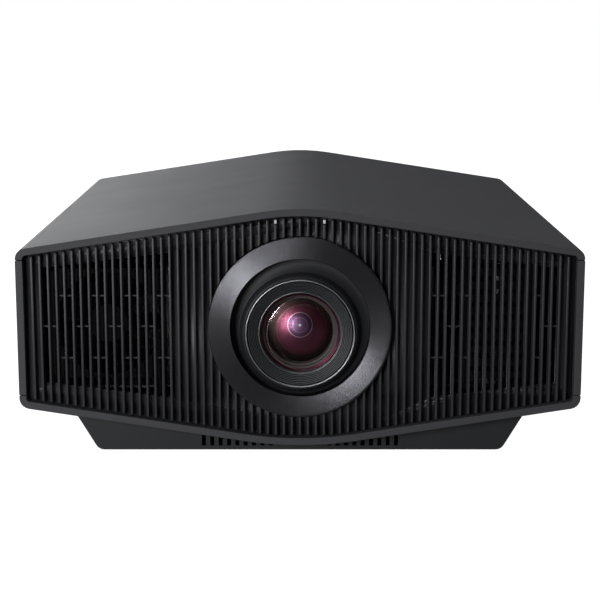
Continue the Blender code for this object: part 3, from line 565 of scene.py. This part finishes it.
grilleSizes = {
    "pitch": 0.00658,
    "eachSide": 33,
    "frontWidth": 0.0020,
    "backWidth": 0.0021,
    "faceBack": 0.0020,  # how far the rib's face lies behind the rim
    "floorBack": 0.0080,
    "sunk": 0.0006,  # how far a rib reaches into the floor
    "edge": 0.0005,
    "topSlope": 0.0012,
    "roofTop": 0.2124,  # the casing's outline: heights at the middle, and their slope
    "keelLow": 0.0103,
    "slope": 0.155,
    "gapToRim": 0.00759,
    "endGap": 0.0012,
    "ringClear": 0.0751,
    "ringCut": (-0.003, 0.012),
    "lightRib": 3,
    "lightDrop": 0.0042,
}

modelRib = {"low": 0.05, "middle": 0.10, "high": 0.15}


def shapedRib():
    wide, slim = grilleSizes["backWidth"], grilleSizes["frontWidth"]
    front = rimFront + grilleSizes["faceBack"]
    back = rimFront + grilleSizes["floorBack"] + grilleSizes["sunk"]
    rib = addCube("rib", (-wide / 2, front, modelRib["low"]), (wide / 2, back, modelRib["high"]))

    def inFront(vertex):
        return vertex.co.y < front + 1e-5

    def level(edge):
        first, last = edge.verts
        return inFront(first) and inFront(last) and abs(first.co.z - last.co.z) < 1e-5

    def openEdge(edge):
        return edge.calc_face_angle(0) > 0.5 and all(v.co.y < back - 1e-5 for v in edge.verts)

    startEdit(rib)
    pick(rib, "VERT", inFront)
    centre = (0, front, modelRib["middle"])
    bpy.ops.transform.resize(value=(slim / wide, 1, 1), center_override=centre)
    pick(rib, "EDGE", level)
    bpy.ops.mesh.bevel(offset=grilleSizes["topSlope"], segments=3, affect="EDGES")
    pick(rib, "EDGE", openEdge)
    bpy.ops.mesh.bevel(offset=grilleSizes["edge"], segments=3, affect="EDGES")
    endEdit()
    return rib


def ribSpan(x):  # a rib's ends follow the casing's outline
    low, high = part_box("front_grille")
    fall = grilleSizes["gapToRim"] + grilleSizes["slope"] * abs(x)
    top = min(grilleSizes["roofTop"] - fall, high.z - grilleSizes["endGap"])
    return max(grilleSizes["keelLow"] + fall, low.z + grilleSizes["endGap"]), top


def makeRibs():
    model = shapedRib()
    ribs = []
    for index in range(-grilleSizes["eachSide"], grilleSizes["eachSide"] + 1):
        x = index * grilleSizes["pitch"]
        low, top = ribSpan(x)
        if abs(index) == grilleSizes["lightRib"]:  # room for the light pipe above it
            top -= grilleSizes["lightDrop"]
        rib = placed(copyOf(model, f"rib{index}"), (x, 0, 0))
        startEdit(rib, "VERT")
        pick(rib, "VERT", lambda v: v.co.z < modelRib["middle"])
        bpy.ops.transform.translate(value=(0, 0, low - modelRib["low"]))
        pick(rib, "VERT", lambda v: v.co.z > modelRib["middle"])
        bpy.ops.transform.translate(value=(0, 0, top - modelRib["high"]))
        endEdit()
        ribs.append(rib)
    bpy.data.objects.remove(model)
    rows = joined("ribs", ribs)
    clear, (start, end) = grilleSizes["ringClear"], grilleSizes["ringCut"]
    seat = [(0, start), (clear, start), (clear, end), (0, end)]
    spot = (ringCentre.x, rimFront, ringCentre.z)
    cut(rows, turned("ringSeat", spot, seat, steps=160))  # the ring's round seat
    smooth(rows, 32)
    return rows


tieSizes = {
    "firstGap": 16,
    "lastGap": 31,
    "latticeGaps": range(21, 29),
    "middle": [0.1129],
    "outer": [0.1383, 0.0866],
    "height": 0.0014,
    "behindFace": 0.0038,
    "depth": 0.0022,
    "edge": 0.0003,
}


def makeTies():  # thin bars that hold the open ribs of both vents
    pitch, height = grilleSizes["pitch"], tieSizes["height"]
    front = rimFront + grilleSizes["faceBack"] + tieSizes["behindFace"]
    far = (pitch / 2, front + tieSizes["depth"], height)
    model = addCube("tie", (-pitch / 2, front, 0), far)
    bevel(model, tieSizes["edge"], 1)
    ties = []
    for side in (-1, 1):
        for gap in range(tieSizes["firstGap"], tieSizes["lastGap"] + 1):
            if side > 0 and gap in tieSizes["latticeGaps"]:
                continue  # the lattice behind holds the ribs here
            for level in tieSizes["middle" if (gap // 2) % 2 else "outer"]:
                spot = (side * (gap + 0.5) * pitch, 0, level - height / 2)
                ties.append(placed(copyOf(model, f"tie{side}{gap}{level}"), spot))
    bpy.data.objects.remove(model)
    return ties


floorPlate = refined("front_grille", "grilleFloor", 0)
startEdit(floorPlate)  # the plate behind the ribs is kept, and the shaped ribs stand on it
plane = (0, rimFront + grilleSizes["floorBack"] + 0.0001, 0)
bpy.ops.mesh.bisect(plane_co=plane, plane_no=(0, 1, 0), use_fill=True, clear_inner=True)
endEdit()
tidyMesh(floorPlate)
grille = joined("frontGrille", [floorPlate, makeRibs(), *makeTies()])
fit(grille, looks["grille"], "grille", "front_grille")

for side in ("left", "right"):
    node = "indicator_" + side
    glow = Paint("lightPipe" + side.title(), Roughness=0.3)
    glow.set("Base Color", glow.mix(glow.noise(900, 2), (0.16,) * 3, (0.24,) * 3))
    glow.bump(glow.noise(2500, 2), 0.00001)
    fit(refined(node, titled(node), 0.0002), glow.material, "clear_plastic", node)
print("grille done")


# Ring around the lens

ringSizes = {
    "radius": 0.0746,
    "bore": 0.0568,
    "edge": 0.0010,
    "lip": 0.0003,
    "swell": 0.0008,  # how far the face falls back at its outer edge
    "swellPower": 1.8,
    "faceSteps": 12,
    "rounding": ((0.45, 0.25), (0.1, 0.7), (0, 1.2)),  # the outer edge, in edge widths
    "depth": 0.0107,
}


def makeRing():
    radius, bore, edge, lip = (ringSizes[key] for key in ("radius", "bore", "edge", "lip"))
    swell, steps = ringSizes["swell"], ringSizes["faceSteps"]
    profile = [(bore, ringSizes["depth"]), (bore, lip)]
    inner, outer = bore + lip, radius - edge
    for step in range(steps + 1):
        t = step / steps
        profile.append((inner + (outer - inner) * t, swell * t ** ringSizes["swellPower"]))
    profile += [(radius - edge * r, swell + edge * d) for r, d in ringSizes["rounding"]]
    profile.append((radius, ringSizes["depth"]))
    spot = (ringCentre.x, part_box("lens_ring")[0].y, ringCentre.z)
    ring = turned("lensRing", spot, profile, steps=180, closed=True)
    smooth(ring, 24)
    return ring


fit(makeRing(), looks["ring"], "ring_metal", "lens_ring")
print("ring done")


# Lens: everything here is turned about the lens's own axis, at distances along Y

lensAxis = (lensCentre.x, 0, lensCentre.z)
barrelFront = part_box("lens_barrel")[0].y
maskFront, maskBack = (corner.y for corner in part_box("lens_mask"))
glassFront, glassBack = (corner.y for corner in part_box("front_element"))
baffleFront, baffleBack = (corner.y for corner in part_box("baffle_ring"))

# radii, and distances behind the mask's front unless they say otherwise
maskSizes = {
    "mouth": [(0.0454, 0.0002), (0.0456, 0), (0.0460, 0.0001)],
    "funnel": {"from": (0.0463, 0.0003), "grows": (0.0034, 0.0050), "power": 1.35},
    "step": [(0.0498, 0.0058), (0.0501, 0.0059)],
    "flare": {"from": (0.0502, 0.0067), "wider": 0.0078, "power": 1.8},
    "flange": 0.0660,
    "flangeEdge": 0.0003,
    "flangeThick": 0.0020,
}


def makeMask():
    back = maskBack - maskFront
    flange, rounded = maskSizes["flange"], maskSizes["flangeEdge"]
    disc = back - maskSizes["flangeThick"]
    parts = [index / 7 for index in range(8)]
    profile = [(maskSizes["mouth"][0][0], back), *maskSizes["mouth"]]
    funnel = maskSizes["funnel"]  # a soft funnel that leads into the barrel
    (radius, depth), (wider, deeper) = funnel["from"], funnel["grows"]
    profile += [(radius + wider * t, depth + deeper * t ** funnel["power"]) for t in parts]
    profile += maskSizes["step"]
    flare = maskSizes["flare"]  # wide only behind the ring, so the lens can shift past it
    (radius, depth), wider, power = flare["from"], flare["wider"], flare["power"]
    for t in parts:
        profile.append((radius + wider * t, depth + (disc - depth) * (1 - (1 - t) ** power)))
    profile += [(flange - rounded, disc), (flange, disc + rounded), (flange, back)]
    spot = (lensCentre.x, maskFront, lensCentre.z)
    return turned("lensMask", spot, profile, steps=160, closed=True)


barrelSizes = {
    "mouth": [(0.0433, 0.0005), (0.0436, 0.0002), (0.0447, 0.0002), (0.0451, 0.0006)],
    "bore": 0.0325,
    "seat": 0.0060,  # how deep the baffle's seat lies
    "joint": -0.2120,  # where the shaped sleeve meets the rest of the barrel
    "edge": 0.0003,
}


def makeBarrel():
    bore, joint = barrelSizes["bore"], barrelSizes["joint"]
    seat = barrelFront + barrelSizes["seat"]
    profile = [(radius, barrelFront + depth) for radius, depth in barrelSizes["mouth"]]
    inner, outer = profile[0][0], profile[-1][0]
    profile += [(outer, joint), (bore, joint), (bore, seat), (inner, seat)]
    sleeve = turned("barrelSleeve", lensAxis, profile, steps=160, closed=True)
    rest = refined("lens_barrel", "barrelRest", 0)
    startEdit(rest)
    plane = (0, joint - 0.0001, 0)
    bpy.ops.mesh.bisect(plane_co=plane, plane_no=(0, 1, 0), use_fill=True, clear_inner=True)
    endEdit()
    tidyMesh(rest)
    bevel(rest, barrelSizes["edge"], 2)
    return joined("lensBarrel", [sleeve, rest])


def makeBaffle():  # a dished ring with fine steps that trap stray light
    inner, outer, border = (baffleSizes[key] for key in ("inner", "outer", "border"))
    near, far = baffleFront + 0.0001, baffleBack - 0.0011
    count, drop = baffleSizes["grooves"], baffleSizes["depth"]
    pitch = (outer - inner - border * 2) / count
    slope = (near - far) / (outer - inner)
    # each groove: share of the pitch, share of the slope, and the drop
    steps = ((-0.22, -0.066, 0), (0.22, 0.066, 0), (0.36, 0, drop), (0.62, 0.3, drop))
    profile = [(inner, baffleBack), (inner, far)]
    for index in range(count):
        t = (index + 0.5) / count
        radius = inner + border + (outer - inner - border * 2) * t
        height = far + (near - far) * t
        for along, rise, fall in steps:
            profile.append((radius + pitch * along, height + slope * pitch * rise + fall))
    profile += [(outer, near), (outer, baffleBack)]
    return turned("baffleRing", lensAxis, profile, steps=160, closed=True)


rimSizes = {  # inner and outer radius, front, back, eased edge
    "barrelRim": (0.04345, 0.04495, barrelFront - 0.0001, barrelFront + 0.0008, 0.0004),
    "glassRim": (0.03325, 0.0340, baffleBack - 0.0016, baffleBack - 0.0002, 0.0002),
}


def thinRing(name):
    inner, outer, front, back, ease = rimSizes[name]
    profile = [(inner, back), (inner, front + ease), (inner + ease, front), (outer - ease, front)]
    profile += [(outer, front + ease), (outer, back)]
    return turned(name, lensAxis, profile, steps=160, closed=True)


for piece, look, slot, nodes in (
    (makeMask(), "mask", "black_plastic", ["lens_mask"]),
    (makeBarrel(), "barrel", "black_plastic", ["lens_barrel"]),
    (makeBaffle(), "baffle", "black_plastic", ["baffle_ring"]),
    (thinRing("barrelRim"), "rim", "alloy", []),
    (thinRing("glassRim"), "innerRim", "alloy", []),
):
    smooth(piece, 30)
    fit(piece, looks[look], slot, *nodes, body="lens")


# Glass: a coated front lens, and the stepped well with the next lens in it

coatSizes = {
    "radius": 0.0332,
    "edge": 0.0017,  # the lens's thickness at its edge
    "offCentre": (0.0033, -0.0009),  # where its painted highlight circles are centred, from the axis
    "middle": (0.0012, 0),
    # painted highlight circles on the front lens
    "lines": [  # centre, radius, width, strength
        ("offCentre", 0.0301, 0.0005, 0.30),
        ("offCentre", 0.0243, 0.0004, 0.10),
        ("middle", 0.0262, 0.0003, 0.08),
    ],
}

deepSizes = {
    "radius": 0.0270,
    "places": (0.0014, 0.0110, 0.0114),  # apex, edge and back, behind the front lens
    "innerReach": 0.0110,
    "hole": 0.0092,
    "holeEdge": 0.0016,
    "outer": (0.0015, 0.0010),
    "inner": (0, 0.0058),
    # painted highlight circles on the lens further back
    "lines": [
        ("inner", 0.0100, 0.00035, 0.55),
        ("inner", 0.0060, 0.0003, 0.25),
        ("outer", 0.0205, 0.0003, 0.15),
    ],
    # coating tint across the radius, with a brighter painted reflection band and an olive edge
    "outerStops": [
        (0.00, (0.046, 0.018, 0.030)),
        (0.40, (0.058, 0.018, 0.030)),
        (0.62, (0.080, 0.022, 0.036)),
        (0.80, (0.060, 0.026, 0.030)),
        (0.90, (0.046, 0.034, 0.030)),
        (1.00, (0.034, 0.028, 0.024)),
    ],
    # a painted highlight dot in the middle, then the purple of the lens further back
    "innerStops": [
        (0.00, (0.26, 0.36, 0.34)),
        (0.06, (0.16, 0.20, 0.22)),
        (0.12, (0.060, 0.034, 0.060)),
        (0.50, (0.050, 0.026, 0.050)),
        (0.80, (0.040, 0.018, 0.034)),
        (1.00, (0.044, 0.017, 0.028)),
    ],
}


def fromPoint(paint, offset):  # distance from an axis beside the lens's own
    return paint.fromAxis((lensCentre.x + offset[0], 0, lensCentre.z + offset[1]))


def paintedHighlightCircles(paint, sizes):  # painted highlights: thin bright circles that stand in for lit edges of lenses further back
    total = 0
    for centre, radius, width, strength in sizes["lines"]:
        line = fromPoint(paint, sizes[centre]).circle(radius, width) * strength
        total = line + total
    return total


def frontCoat():
    paint = Paint("frontCoat", Metallic=1.0)
    haze = (paint.fromAxis(lensCentre) / coatSizes["radius"]) ** 6.0
    paint.set("Base Color", paint.mix(haze, (0.30, 0.20, 0.24), (0.20, 0.12, 0.12)))
    paint.set("Roughness", paint.noise(300, 2) * 0.02 + 0.12)
    facing = paint.node("LayerWeight", inputs={"Blend": 0.5}, output="Facing")
    # the painted highlight circles, plus a facing term, set where the coat shows
    paint.set("Alpha", (paintedHighlightCircles(paint, coatSizes) + facing**2.5 * 0.5).clamped())
    paint.bump(paint.noise(60, 1), 0.000002)
    return paint.material


def deepCoat():  # magenta coating tint with painted reflections: a brighter reflection band, highlight circles in light pink, and a highlight dot in the middle
    paint = Paint("deepCoat", Metallic=1.0)
    outer = fromPoint(paint, deepSizes["outer"])
    inner = fromPoint(paint, deepSizes["inner"])
    tintAndReflection = {0: outer / deepSizes["radius"]}
    tintAndReflection = paint.node("ValToRGB", {"stops": deepSizes["outerStops"]}, tintAndReflection)
    centre = {0: inner / deepSizes["innerReach"]}
    centre = paint.node("ValToRGB", {"stops": deepSizes["innerStops"]}, centre)
    hole = (1 - (inner - deepSizes["hole"]) / deepSizes["holeEdge"]).clamped()
    tone = paint.mix(hole, tintAndReflection, centre)
    lines = paintedHighlightCircles(paint, deepSizes).clamped()
    # the painted highlight circles, in light pink over the tint
    paint.set("Base Color", paint.mix(lines, tone, (0.42, 0.30, 0.36)))
    paint.set("Roughness", paint.noise(200, 2) * 0.04 + 0.36)
    paint.bump(paint.noise(80, 1), 0.000002)
    return paint.material


def dome(name, radius, apex, edge, back):  # a lens: a round front and a flat back
    profile = []
    for index in range(17):
        t = index / 16
        profile.append((radius * t, apex + (edge - apex) * t * t))
    profile += [(radius, back), (0, back)]
    return turned(name, lensAxis, profile, steps=128)


wellSizes = {  # radius, and distance behind the front lens
    "steps": [
        (0.0309, 0.0012), (0.0309, 0.0030), (0.0291, 0.0034), (0.0291, 0.0056), (0.0274, 0.0060),
        (0.0274, 0.0112), (0.0240, 0.0116), (0.0240, 0.0160), (0.0323, 0.0160), (0.0323, 0.0012),
    ],
    "edge": 0.00022,
    "crescent": [(0.0323, 0.0003), (0.0309, 0.0011), (0.0323, 0.0011)],
}

behindGlass = (lensCentre.x, glassBack, lensCentre.z)
well = turned("lensWell", behindGlass, wellSizes["steps"], steps=128, closed=True)
bevel(well, wellSizes["edge"], 2)
smooth(well, 30)
fit(well, looks["well"], "black_plastic", body="lens")

crescent = turned("lensSeat", behindGlass, wellSizes["crescent"], steps=128, closed=True)
smooth(crescent, 30)
fit(crescent, looks["seat"], "alloy", body="lens")

edgePlace = glassBack - coatSizes["edge"]
frontGlass = dome("frontGlass", coatSizes["radius"], glassFront, edgePlace, glassBack)
smooth(frontGlass, 30)
fit(frontGlass, frontCoat(), "coated_glass", "front_element")

deepPlaces = (glassBack + behind for behind in deepSizes["places"])
deepGlass = dome("deepGlass", deepSizes["radius"], *deepPlaces)
smooth(deepGlass, 30)
fit(deepGlass, deepCoat(), "coated_glass", body="lens")
print("lens done")


# Vent screen, fans, tray, drawer and feet: CAD shapes with eased edges

easedNodes = {
    "exhaust_screen": ("grille", "black_plastic", 0.0002),
    "exhaust_fan_left_frame": ("deep", "black_plastic", 0.0004),
    "exhaust_fan_left_rotor": ("deep", "black_plastic", 0.0003),
    "exhaust_fan_right_frame": ("deep", "black_plastic", 0.0004),
    "exhaust_fan_right_rotor": ("deep", "black_plastic", 0.0003),
    "base_tray": ("tray", "tray", 0.0005),
    "filter_drawer": ("tray", "black_plastic", 0.0004),
    "air_filter": ("foam", "filter_foam", 0.0006),
    "connector_panel": ("black", "black_plastic", 0.0003),
    "hdmi_socket_upper": ("socket", "steel", 0.0002),
    "hdmi_socket_lower": ("socket", "steel", 0.0002),
    "lan_socket": ("socket", "steel", 0.0002),
    "ac_inlet": ("black", "black_plastic", 0.0004),
    "rear_foot_left": ("rubber", "rubber", 0.0008),
    "rear_foot_right": ("rubber", "rubber", 0.0008),
    "front_foot_left_knob": ("rubber", "rubber", 0.0005),
    "front_foot_right_knob": ("rubber", "rubber", 0.0005),
}

keyNames = ("power", "input", "menu", "up", "down", "back", "forward", "enter")
easedNodes.update({name + "_key": ("key", "rubber", 0.0005) for name in keyNames})

for node, (look, slot, edge) in easedNodes.items():
    fit(refined(node, titled(node), edge), looks[look], slot, node)
print("eased parts done")


# Parts inside keep their CAD shape and take a look

insideLooks = {
    "alloy": (
        "shift_frame", "vertical_carriage", "horizontal_carriage", "light_engine", "laser_module",
    ),
    "bareAlloy": ("laser_heatsink",),
    "steel": (
        "vertical_motor", "horizontal_motor", "vertical_screw", "horizontal_screw", "focus_motor",
        "zoom_motor", "focus_pinion", "zoom_pinion", "chassis_plate", "power_supply",
        "front_foot_left_stem", "front_foot_right_stem",
    ),
    "nylon": ("focus_ring", "zoom_ring"),
    "board": ("main_board",),
    "phosphor": ("phosphor_wheel",),
}

for look, nodes in insideLooks.items():
    for node in nodes:
        for holder in frame["nodes"][node].material_slots:
            holder.material = looks[look]


# Contacts in the sockets and pins in the inlet

# lengths along X are distances behind the socket's mouth: the deep end and the near end
contactSizes = {
    "tongueX": (0.0105, 0.0016),
    "tongueHalf": (0.0047, 0.0005),
    "stripX": (0.0095, 0.0022),
    "stripHalf": 0.00015,
    "stripZ": (0.0004, 0.00062),
    "hdmiCount": 10,
    "hdmiPitch": 0.0009,
    "wireX": (0.0100, 0.0035),
    "wireHalf": 0.0002,
    "wireZ": (0.0015, 0.0019),
    "wireDrop": 0.0032,
    "lanCount": 8,
    "lanPitch": 0.00127,
    "lanRise": 0.0018,
    "pinLow": (-0.0010, -0.0170, -0.0020),  # from the end of the inlet along Y
    "pinHigh": (0.0010, -0.0030, 0.0020),
    "pinPlaces": [(-0.0070, 0, -0.0020), (0, 0, 0.0020), (0.0070, 0, -0.0020)],
}


def rowOf(name, model, spots):
    parts = []
    for number, spot in enumerate(spots):
        parts.append(placed(copyOf(model, f"{name}{number}"), spot))
    bpy.data.objects.remove(model)
    return joined(name, parts)


def evenSpots(centre, count, pitch, rise=0.0):  # side by side along Y
    start = centre.y - (count - 1) / 2 * pitch
    return [(0, start + i * pitch, centre.z + rise) for i in range(count)]


for node in ("hdmi_socket_upper", "hdmi_socket_lower"):
    mouth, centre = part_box(node)[1].x, middleOf(node)
    deep, near = (mouth - back for back in contactSizes["tongueX"])
    wide, thick = contactSizes["tongueHalf"]
    low, high = (deep, centre.y - wide, centre.z - thick), (near, centre.y + wide, centre.z + thick)
    tongue = addCube(titled(node) + "Tongue", low, high)
    bevel(tongue, 0.0002, 2)
    smooth(tongue)
    fit(tongue, looks["black"], "black_plastic", body="casing")
    deep, near = (mouth - back for back in contactSizes["stripX"])
    half, (under, over) = contactSizes["stripHalf"], contactSizes["stripZ"]
    strip = addCube("strip", (deep, -half, under), (near, half, over))
    bevel(strip, 0.00004, 1)
    spots = evenSpots(centre, contactSizes["hdmiCount"], contactSizes["hdmiPitch"])
    contacts = rowOf(titled(node) + "Contacts", strip, spots)
    fit(contacts, looks["gold"], "alloy", body="casing")

mouth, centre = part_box("lan_socket")[1].x, middleOf("lan_socket")
deep, near = (mouth - back for back in contactSizes["wireX"])
half, (under, over) = contactSizes["wireHalf"], contactSizes["wireZ"]
wire = addCube("wire", (deep, -half, under), (near, half, over))
startEdit(wire)  # the free end bends down
pick(wire, "VERT", lambda v: v.co.x < deep + 0.0001)
bpy.ops.transform.translate(value=(0, 0, -contactSizes["wireDrop"]))
endEdit()
bevel(wire, 0.00006, 1)
pitch, rise = contactSizes["lanPitch"], contactSizes["lanRise"]
spots = evenSpots(centre, contactSizes["lanCount"], pitch, rise)
fit(rowOf("lanContacts", wire, spots), looks["gold"], "alloy", body="casing")

inletEnd, centre = Vector((0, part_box("ac_inlet")[1].y, 0)), middleOf("ac_inlet")
low, high = (inletEnd + Vector(contactSizes[key]) for key in ("pinLow", "pinHigh"))
pin = addCube("pin", low, high)
bevel(pin, 0.0005, 3)
smooth(pin)
spots = [(centre.x + x, y, centre.z + z) for x, y, z in contactSizes["pinPlaces"]]
fit(rowOf("inletPins", pin, spots), looks["socket"], "steel", body="casing")
print("sockets done")


# Screws that hold the rear panel: one is shaped, the others are copies

screwSizes = {
    "profile": [(1, 0.35), (0.85, 0.75), (0.5, 0.97), (0, 1)],  # in radii and heights
    "radius": 0.0030,
    "height": 0.0013,
    "sunk": 0.0002,
    "recess": 0.0007,
    "slot": 0.0007,
    "slotReach": 0.55,
    "places": [
        (0.206, 0.070), (0.206, 0.152), (-0.206, 0.070), (-0.206, 0.152), (0, 0.193), (0, 0.031),
    ],
}


def makeScrew():
    radius, height, sunk = (screwSizes[key] for key in ("radius", "height", "sunk"))
    profile = [(0, -sunk), (radius, -sunk)]
    profile += [(radius * r, height * h) for r, h in screwSizes["profile"]]
    screw = turned("screw", (0, 0, 0), profile, steps=32)
    half, slot = radius * screwSizes["slotReach"], screwSizes["slot"] / 2
    floor = height - screwSizes["recess"]
    across = addCube("across", (-half, floor, -slot), (half, height * 2, slot))
    upright = addCube("upright", (-slot, floor, -half), (slot, height * 2, half))
    cut(screw, across, upright)
    smooth(screw, 30)
    return screw


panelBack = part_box("rear_panel")[1].y
spots = [(x, panelBack, z) for x, z in screwSizes["places"]]
fit(rowOf("rearScrews", makeScrew(), spots), looks["screw"], "steel", body="casing")
print("screws done")


# Marks on the keys

markSizes = {
    "proud": 0.00012,
    "sunk": 0.0001,
    "edge": 0.00004,
    "reach": 0.0017,
    "corners": (0, 2.3, -2.3),  # angles of an arrow's corners
    "rounds": {"power_key": (0.0019, 0.0025), "enter_key": (0.0, 0.0008)},
    "arrows": {
        "up_key": math.pi / 2,
        "down_key": -math.pi / 2,
        "back_key": math.pi,
        "forward_key": 0,
    },
}


def arrowMark(key, turn):  # a small triangle that points the way of its key
    centre, reach, sunk = middleOf(key), markSizes["reach"], markSizes["sunk"]
    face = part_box(key)[1].x - sunk
    corners = []
    for angle in markSizes["corners"]:
        along, up = reach * math.cos(turn + angle), reach * math.sin(turn + angle)
        corners.append((face, centre.y + along, centre.z + up))
    return extruded(titled(key) + "Mark", corners, (markSizes["proud"] + sunk, 0, 0))


def roundMark(key, inner, outer):  # a ring, or a dot where it has no inner radius
    centre, low, high = middleOf(key), -markSizes["sunk"], markSizes["proud"]
    if inner:
        profile = [(inner, low), (inner, high), (outer, high), (outer, low)]
    else:
        profile = [(0, high), (outer, high), (outer, low), (0, low)]
    spot = (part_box(key)[1].x, centre.y, centre.z)
    return turned(titled(key) + "Mark", spot, profile, 40, "X", closed=bool(inner))


marks = [(key, arrowMark(key, turn)) for key, turn in markSizes["arrows"].items()]
marks += [(key, roundMark(key, *radii)) for key, radii in markSizes["rounds"].items()]
for key, mark in marks:
    bevel(mark, markSizes["edge"], 1)
    fit(mark, looks["mark"], "clear_plastic", body=key)
print("marks done")


# Stage, light and camera

stage = {
    "floorTone": 0.10,
    "floorGlow": 0.985,  # a light table under the sweep
    "floorBounce": 0.20,  # what the object gets from it
    "floorSize": 80,
    "floorPlace": (0, 30, -0.0002),  # just under the feet
    "roomLight": 0.09,
    "backdrop": 1.0,
}

lamps = {  # place, aim, size, power, colour
    "keyLight": ((-0.92, -1.98, 0.48), lensCentre, (0.75, 0.75), 74.0, (1, 1, 1)),
    "backLight": ((-1.5, 3.4, 0.95), (-0.05, 0, 0.18), (3.0, 0.8), 12.0, (0.93, 0.95, 1.0)),
    "topLight": ((0.2, -0.2, 2.6), (0, 0, 0.1), (1.8, 1.8), 50.0, (1, 1, 1)),
    "fillLight0": ((-2.4, 0.3, 1.0), (0, 0, 0.1), (1.6, 1.2), 36.0, (1, 1, 1)),
    "fillLight1": ((2.4, 0.2, 1.1), (0, 0, 0.1), (1.6, 1.2), 36.0, (1, 1, 1)),
    "fillLight2": ((-1.3, 2.7, 0.9), (0, 0, 0.1), (1.6, 1.2), 36.0, (1, 1, 1)),
}

view = {"lens": 94.6, "sensor": 36, "distance": 1.254, "height": 0.3728, "tilt": 79.3}


def addFloor():
    deselectAll()
    bpy.ops.mesh.primitive_plane_add(size=stage["floorSize"], location=stage["floorPlace"])
    floor = bpy.context.object
    floor.name = "floor"
    bpy.ops.object.transform_apply(location=True)
    tone = stage["floorTone"]
    paint = Paint("floorPaper", Roughness=0.9)
    paint.set("Base Color", paint.mix(paint.noise(3, 2), (tone * 0.985,) * 3, (tone,) * 3))
    paint.set("Emission Color", (1, 1, 1))
    paint.set("Emission Strength", stage["floorBounce"])
    surface = Wire(paint, paint.shader.outputs[0])
    extra = stage["floorGlow"] - stage["floorBounce"]  # only the camera sees this part of the glow
    seen = paint.node("Emission", inputs={"Strength": extra})
    direct = paint.node("LightPath", output="Is Camera Ray")
    both = paint.node("AddShader", inputs={0: surface, 1: seen})
    choice = paint.node("MixShader", inputs={0: direct, 1: surface, 2: both})
    output = paint.tree.nodes["Material Output"]
    paint.tree.links.new(choice.socket, output.inputs["Surface"])
    floor.data.materials.append(paint.material)


def addLight(name, place, aim, size, power, colour):
    lamp = bpy.data.lights.new(name, "AREA")
    lamp.shape = "RECTANGLE"
    lamp.size, lamp.size_y = size
    lamp.energy = power
    lamp.color = colour
    holder = bpy.data.objects.new(name, lamp)
    bpy.context.scene.collection.objects.link(holder)
    holder.location = place
    holder.rotation_euler = (Vector(aim) - Vector(place)).to_track_quat("-Z", "Y").to_euler()
    holder.visible_camera = False


def addWorld():
    world = bpy.data.worlds.new("studio")
    world.use_nodes = True
    nodes, links = world.node_tree.nodes, world.node_tree.links
    room = nodes["Background"]
    room.inputs["Color"].default_value = (1, 1, 1, 1)
    room.inputs["Strength"].default_value = stage["roomLight"]
    sweep = nodes.new("ShaderNodeBackground")
    sweep.inputs["Color"].default_value = (1, 1, 1, 1)
    sweep.inputs["Strength"].default_value = stage["backdrop"]
    choice, path = nodes.new("ShaderNodeMixShader"), nodes.new("ShaderNodeLightPath")
    links.new(path.outputs["Is Camera Ray"], choice.inputs["Fac"])
    links.new(room.outputs[0], choice.inputs[1])
    links.new(sweep.outputs[0], choice.inputs[2])
    links.new(choice.outputs[0], nodes["World Output"].inputs["Surface"])
    bpy.context.scene.world = world


def addCamera():
    lens = bpy.data.cameras.new("camera")
    lens.lens, lens.sensor_width = view["lens"], view["sensor"]
    camera = bpy.data.objects.new("camera", lens)
    bpy.context.scene.collection.objects.link(camera)
    camera.location = (0, rimFront - view["distance"], view["height"])
    camera.rotation_euler = (math.radians(view["tilt"]), 0, 0)
    bpy.context.scene.camera = camera


addFloor()
for name, row in lamps.items():
    addLight(name, *row)
addWorld()
addCamera()
bpy.context.scene.view_settings.view_transform = "Standard"
print("stage done")
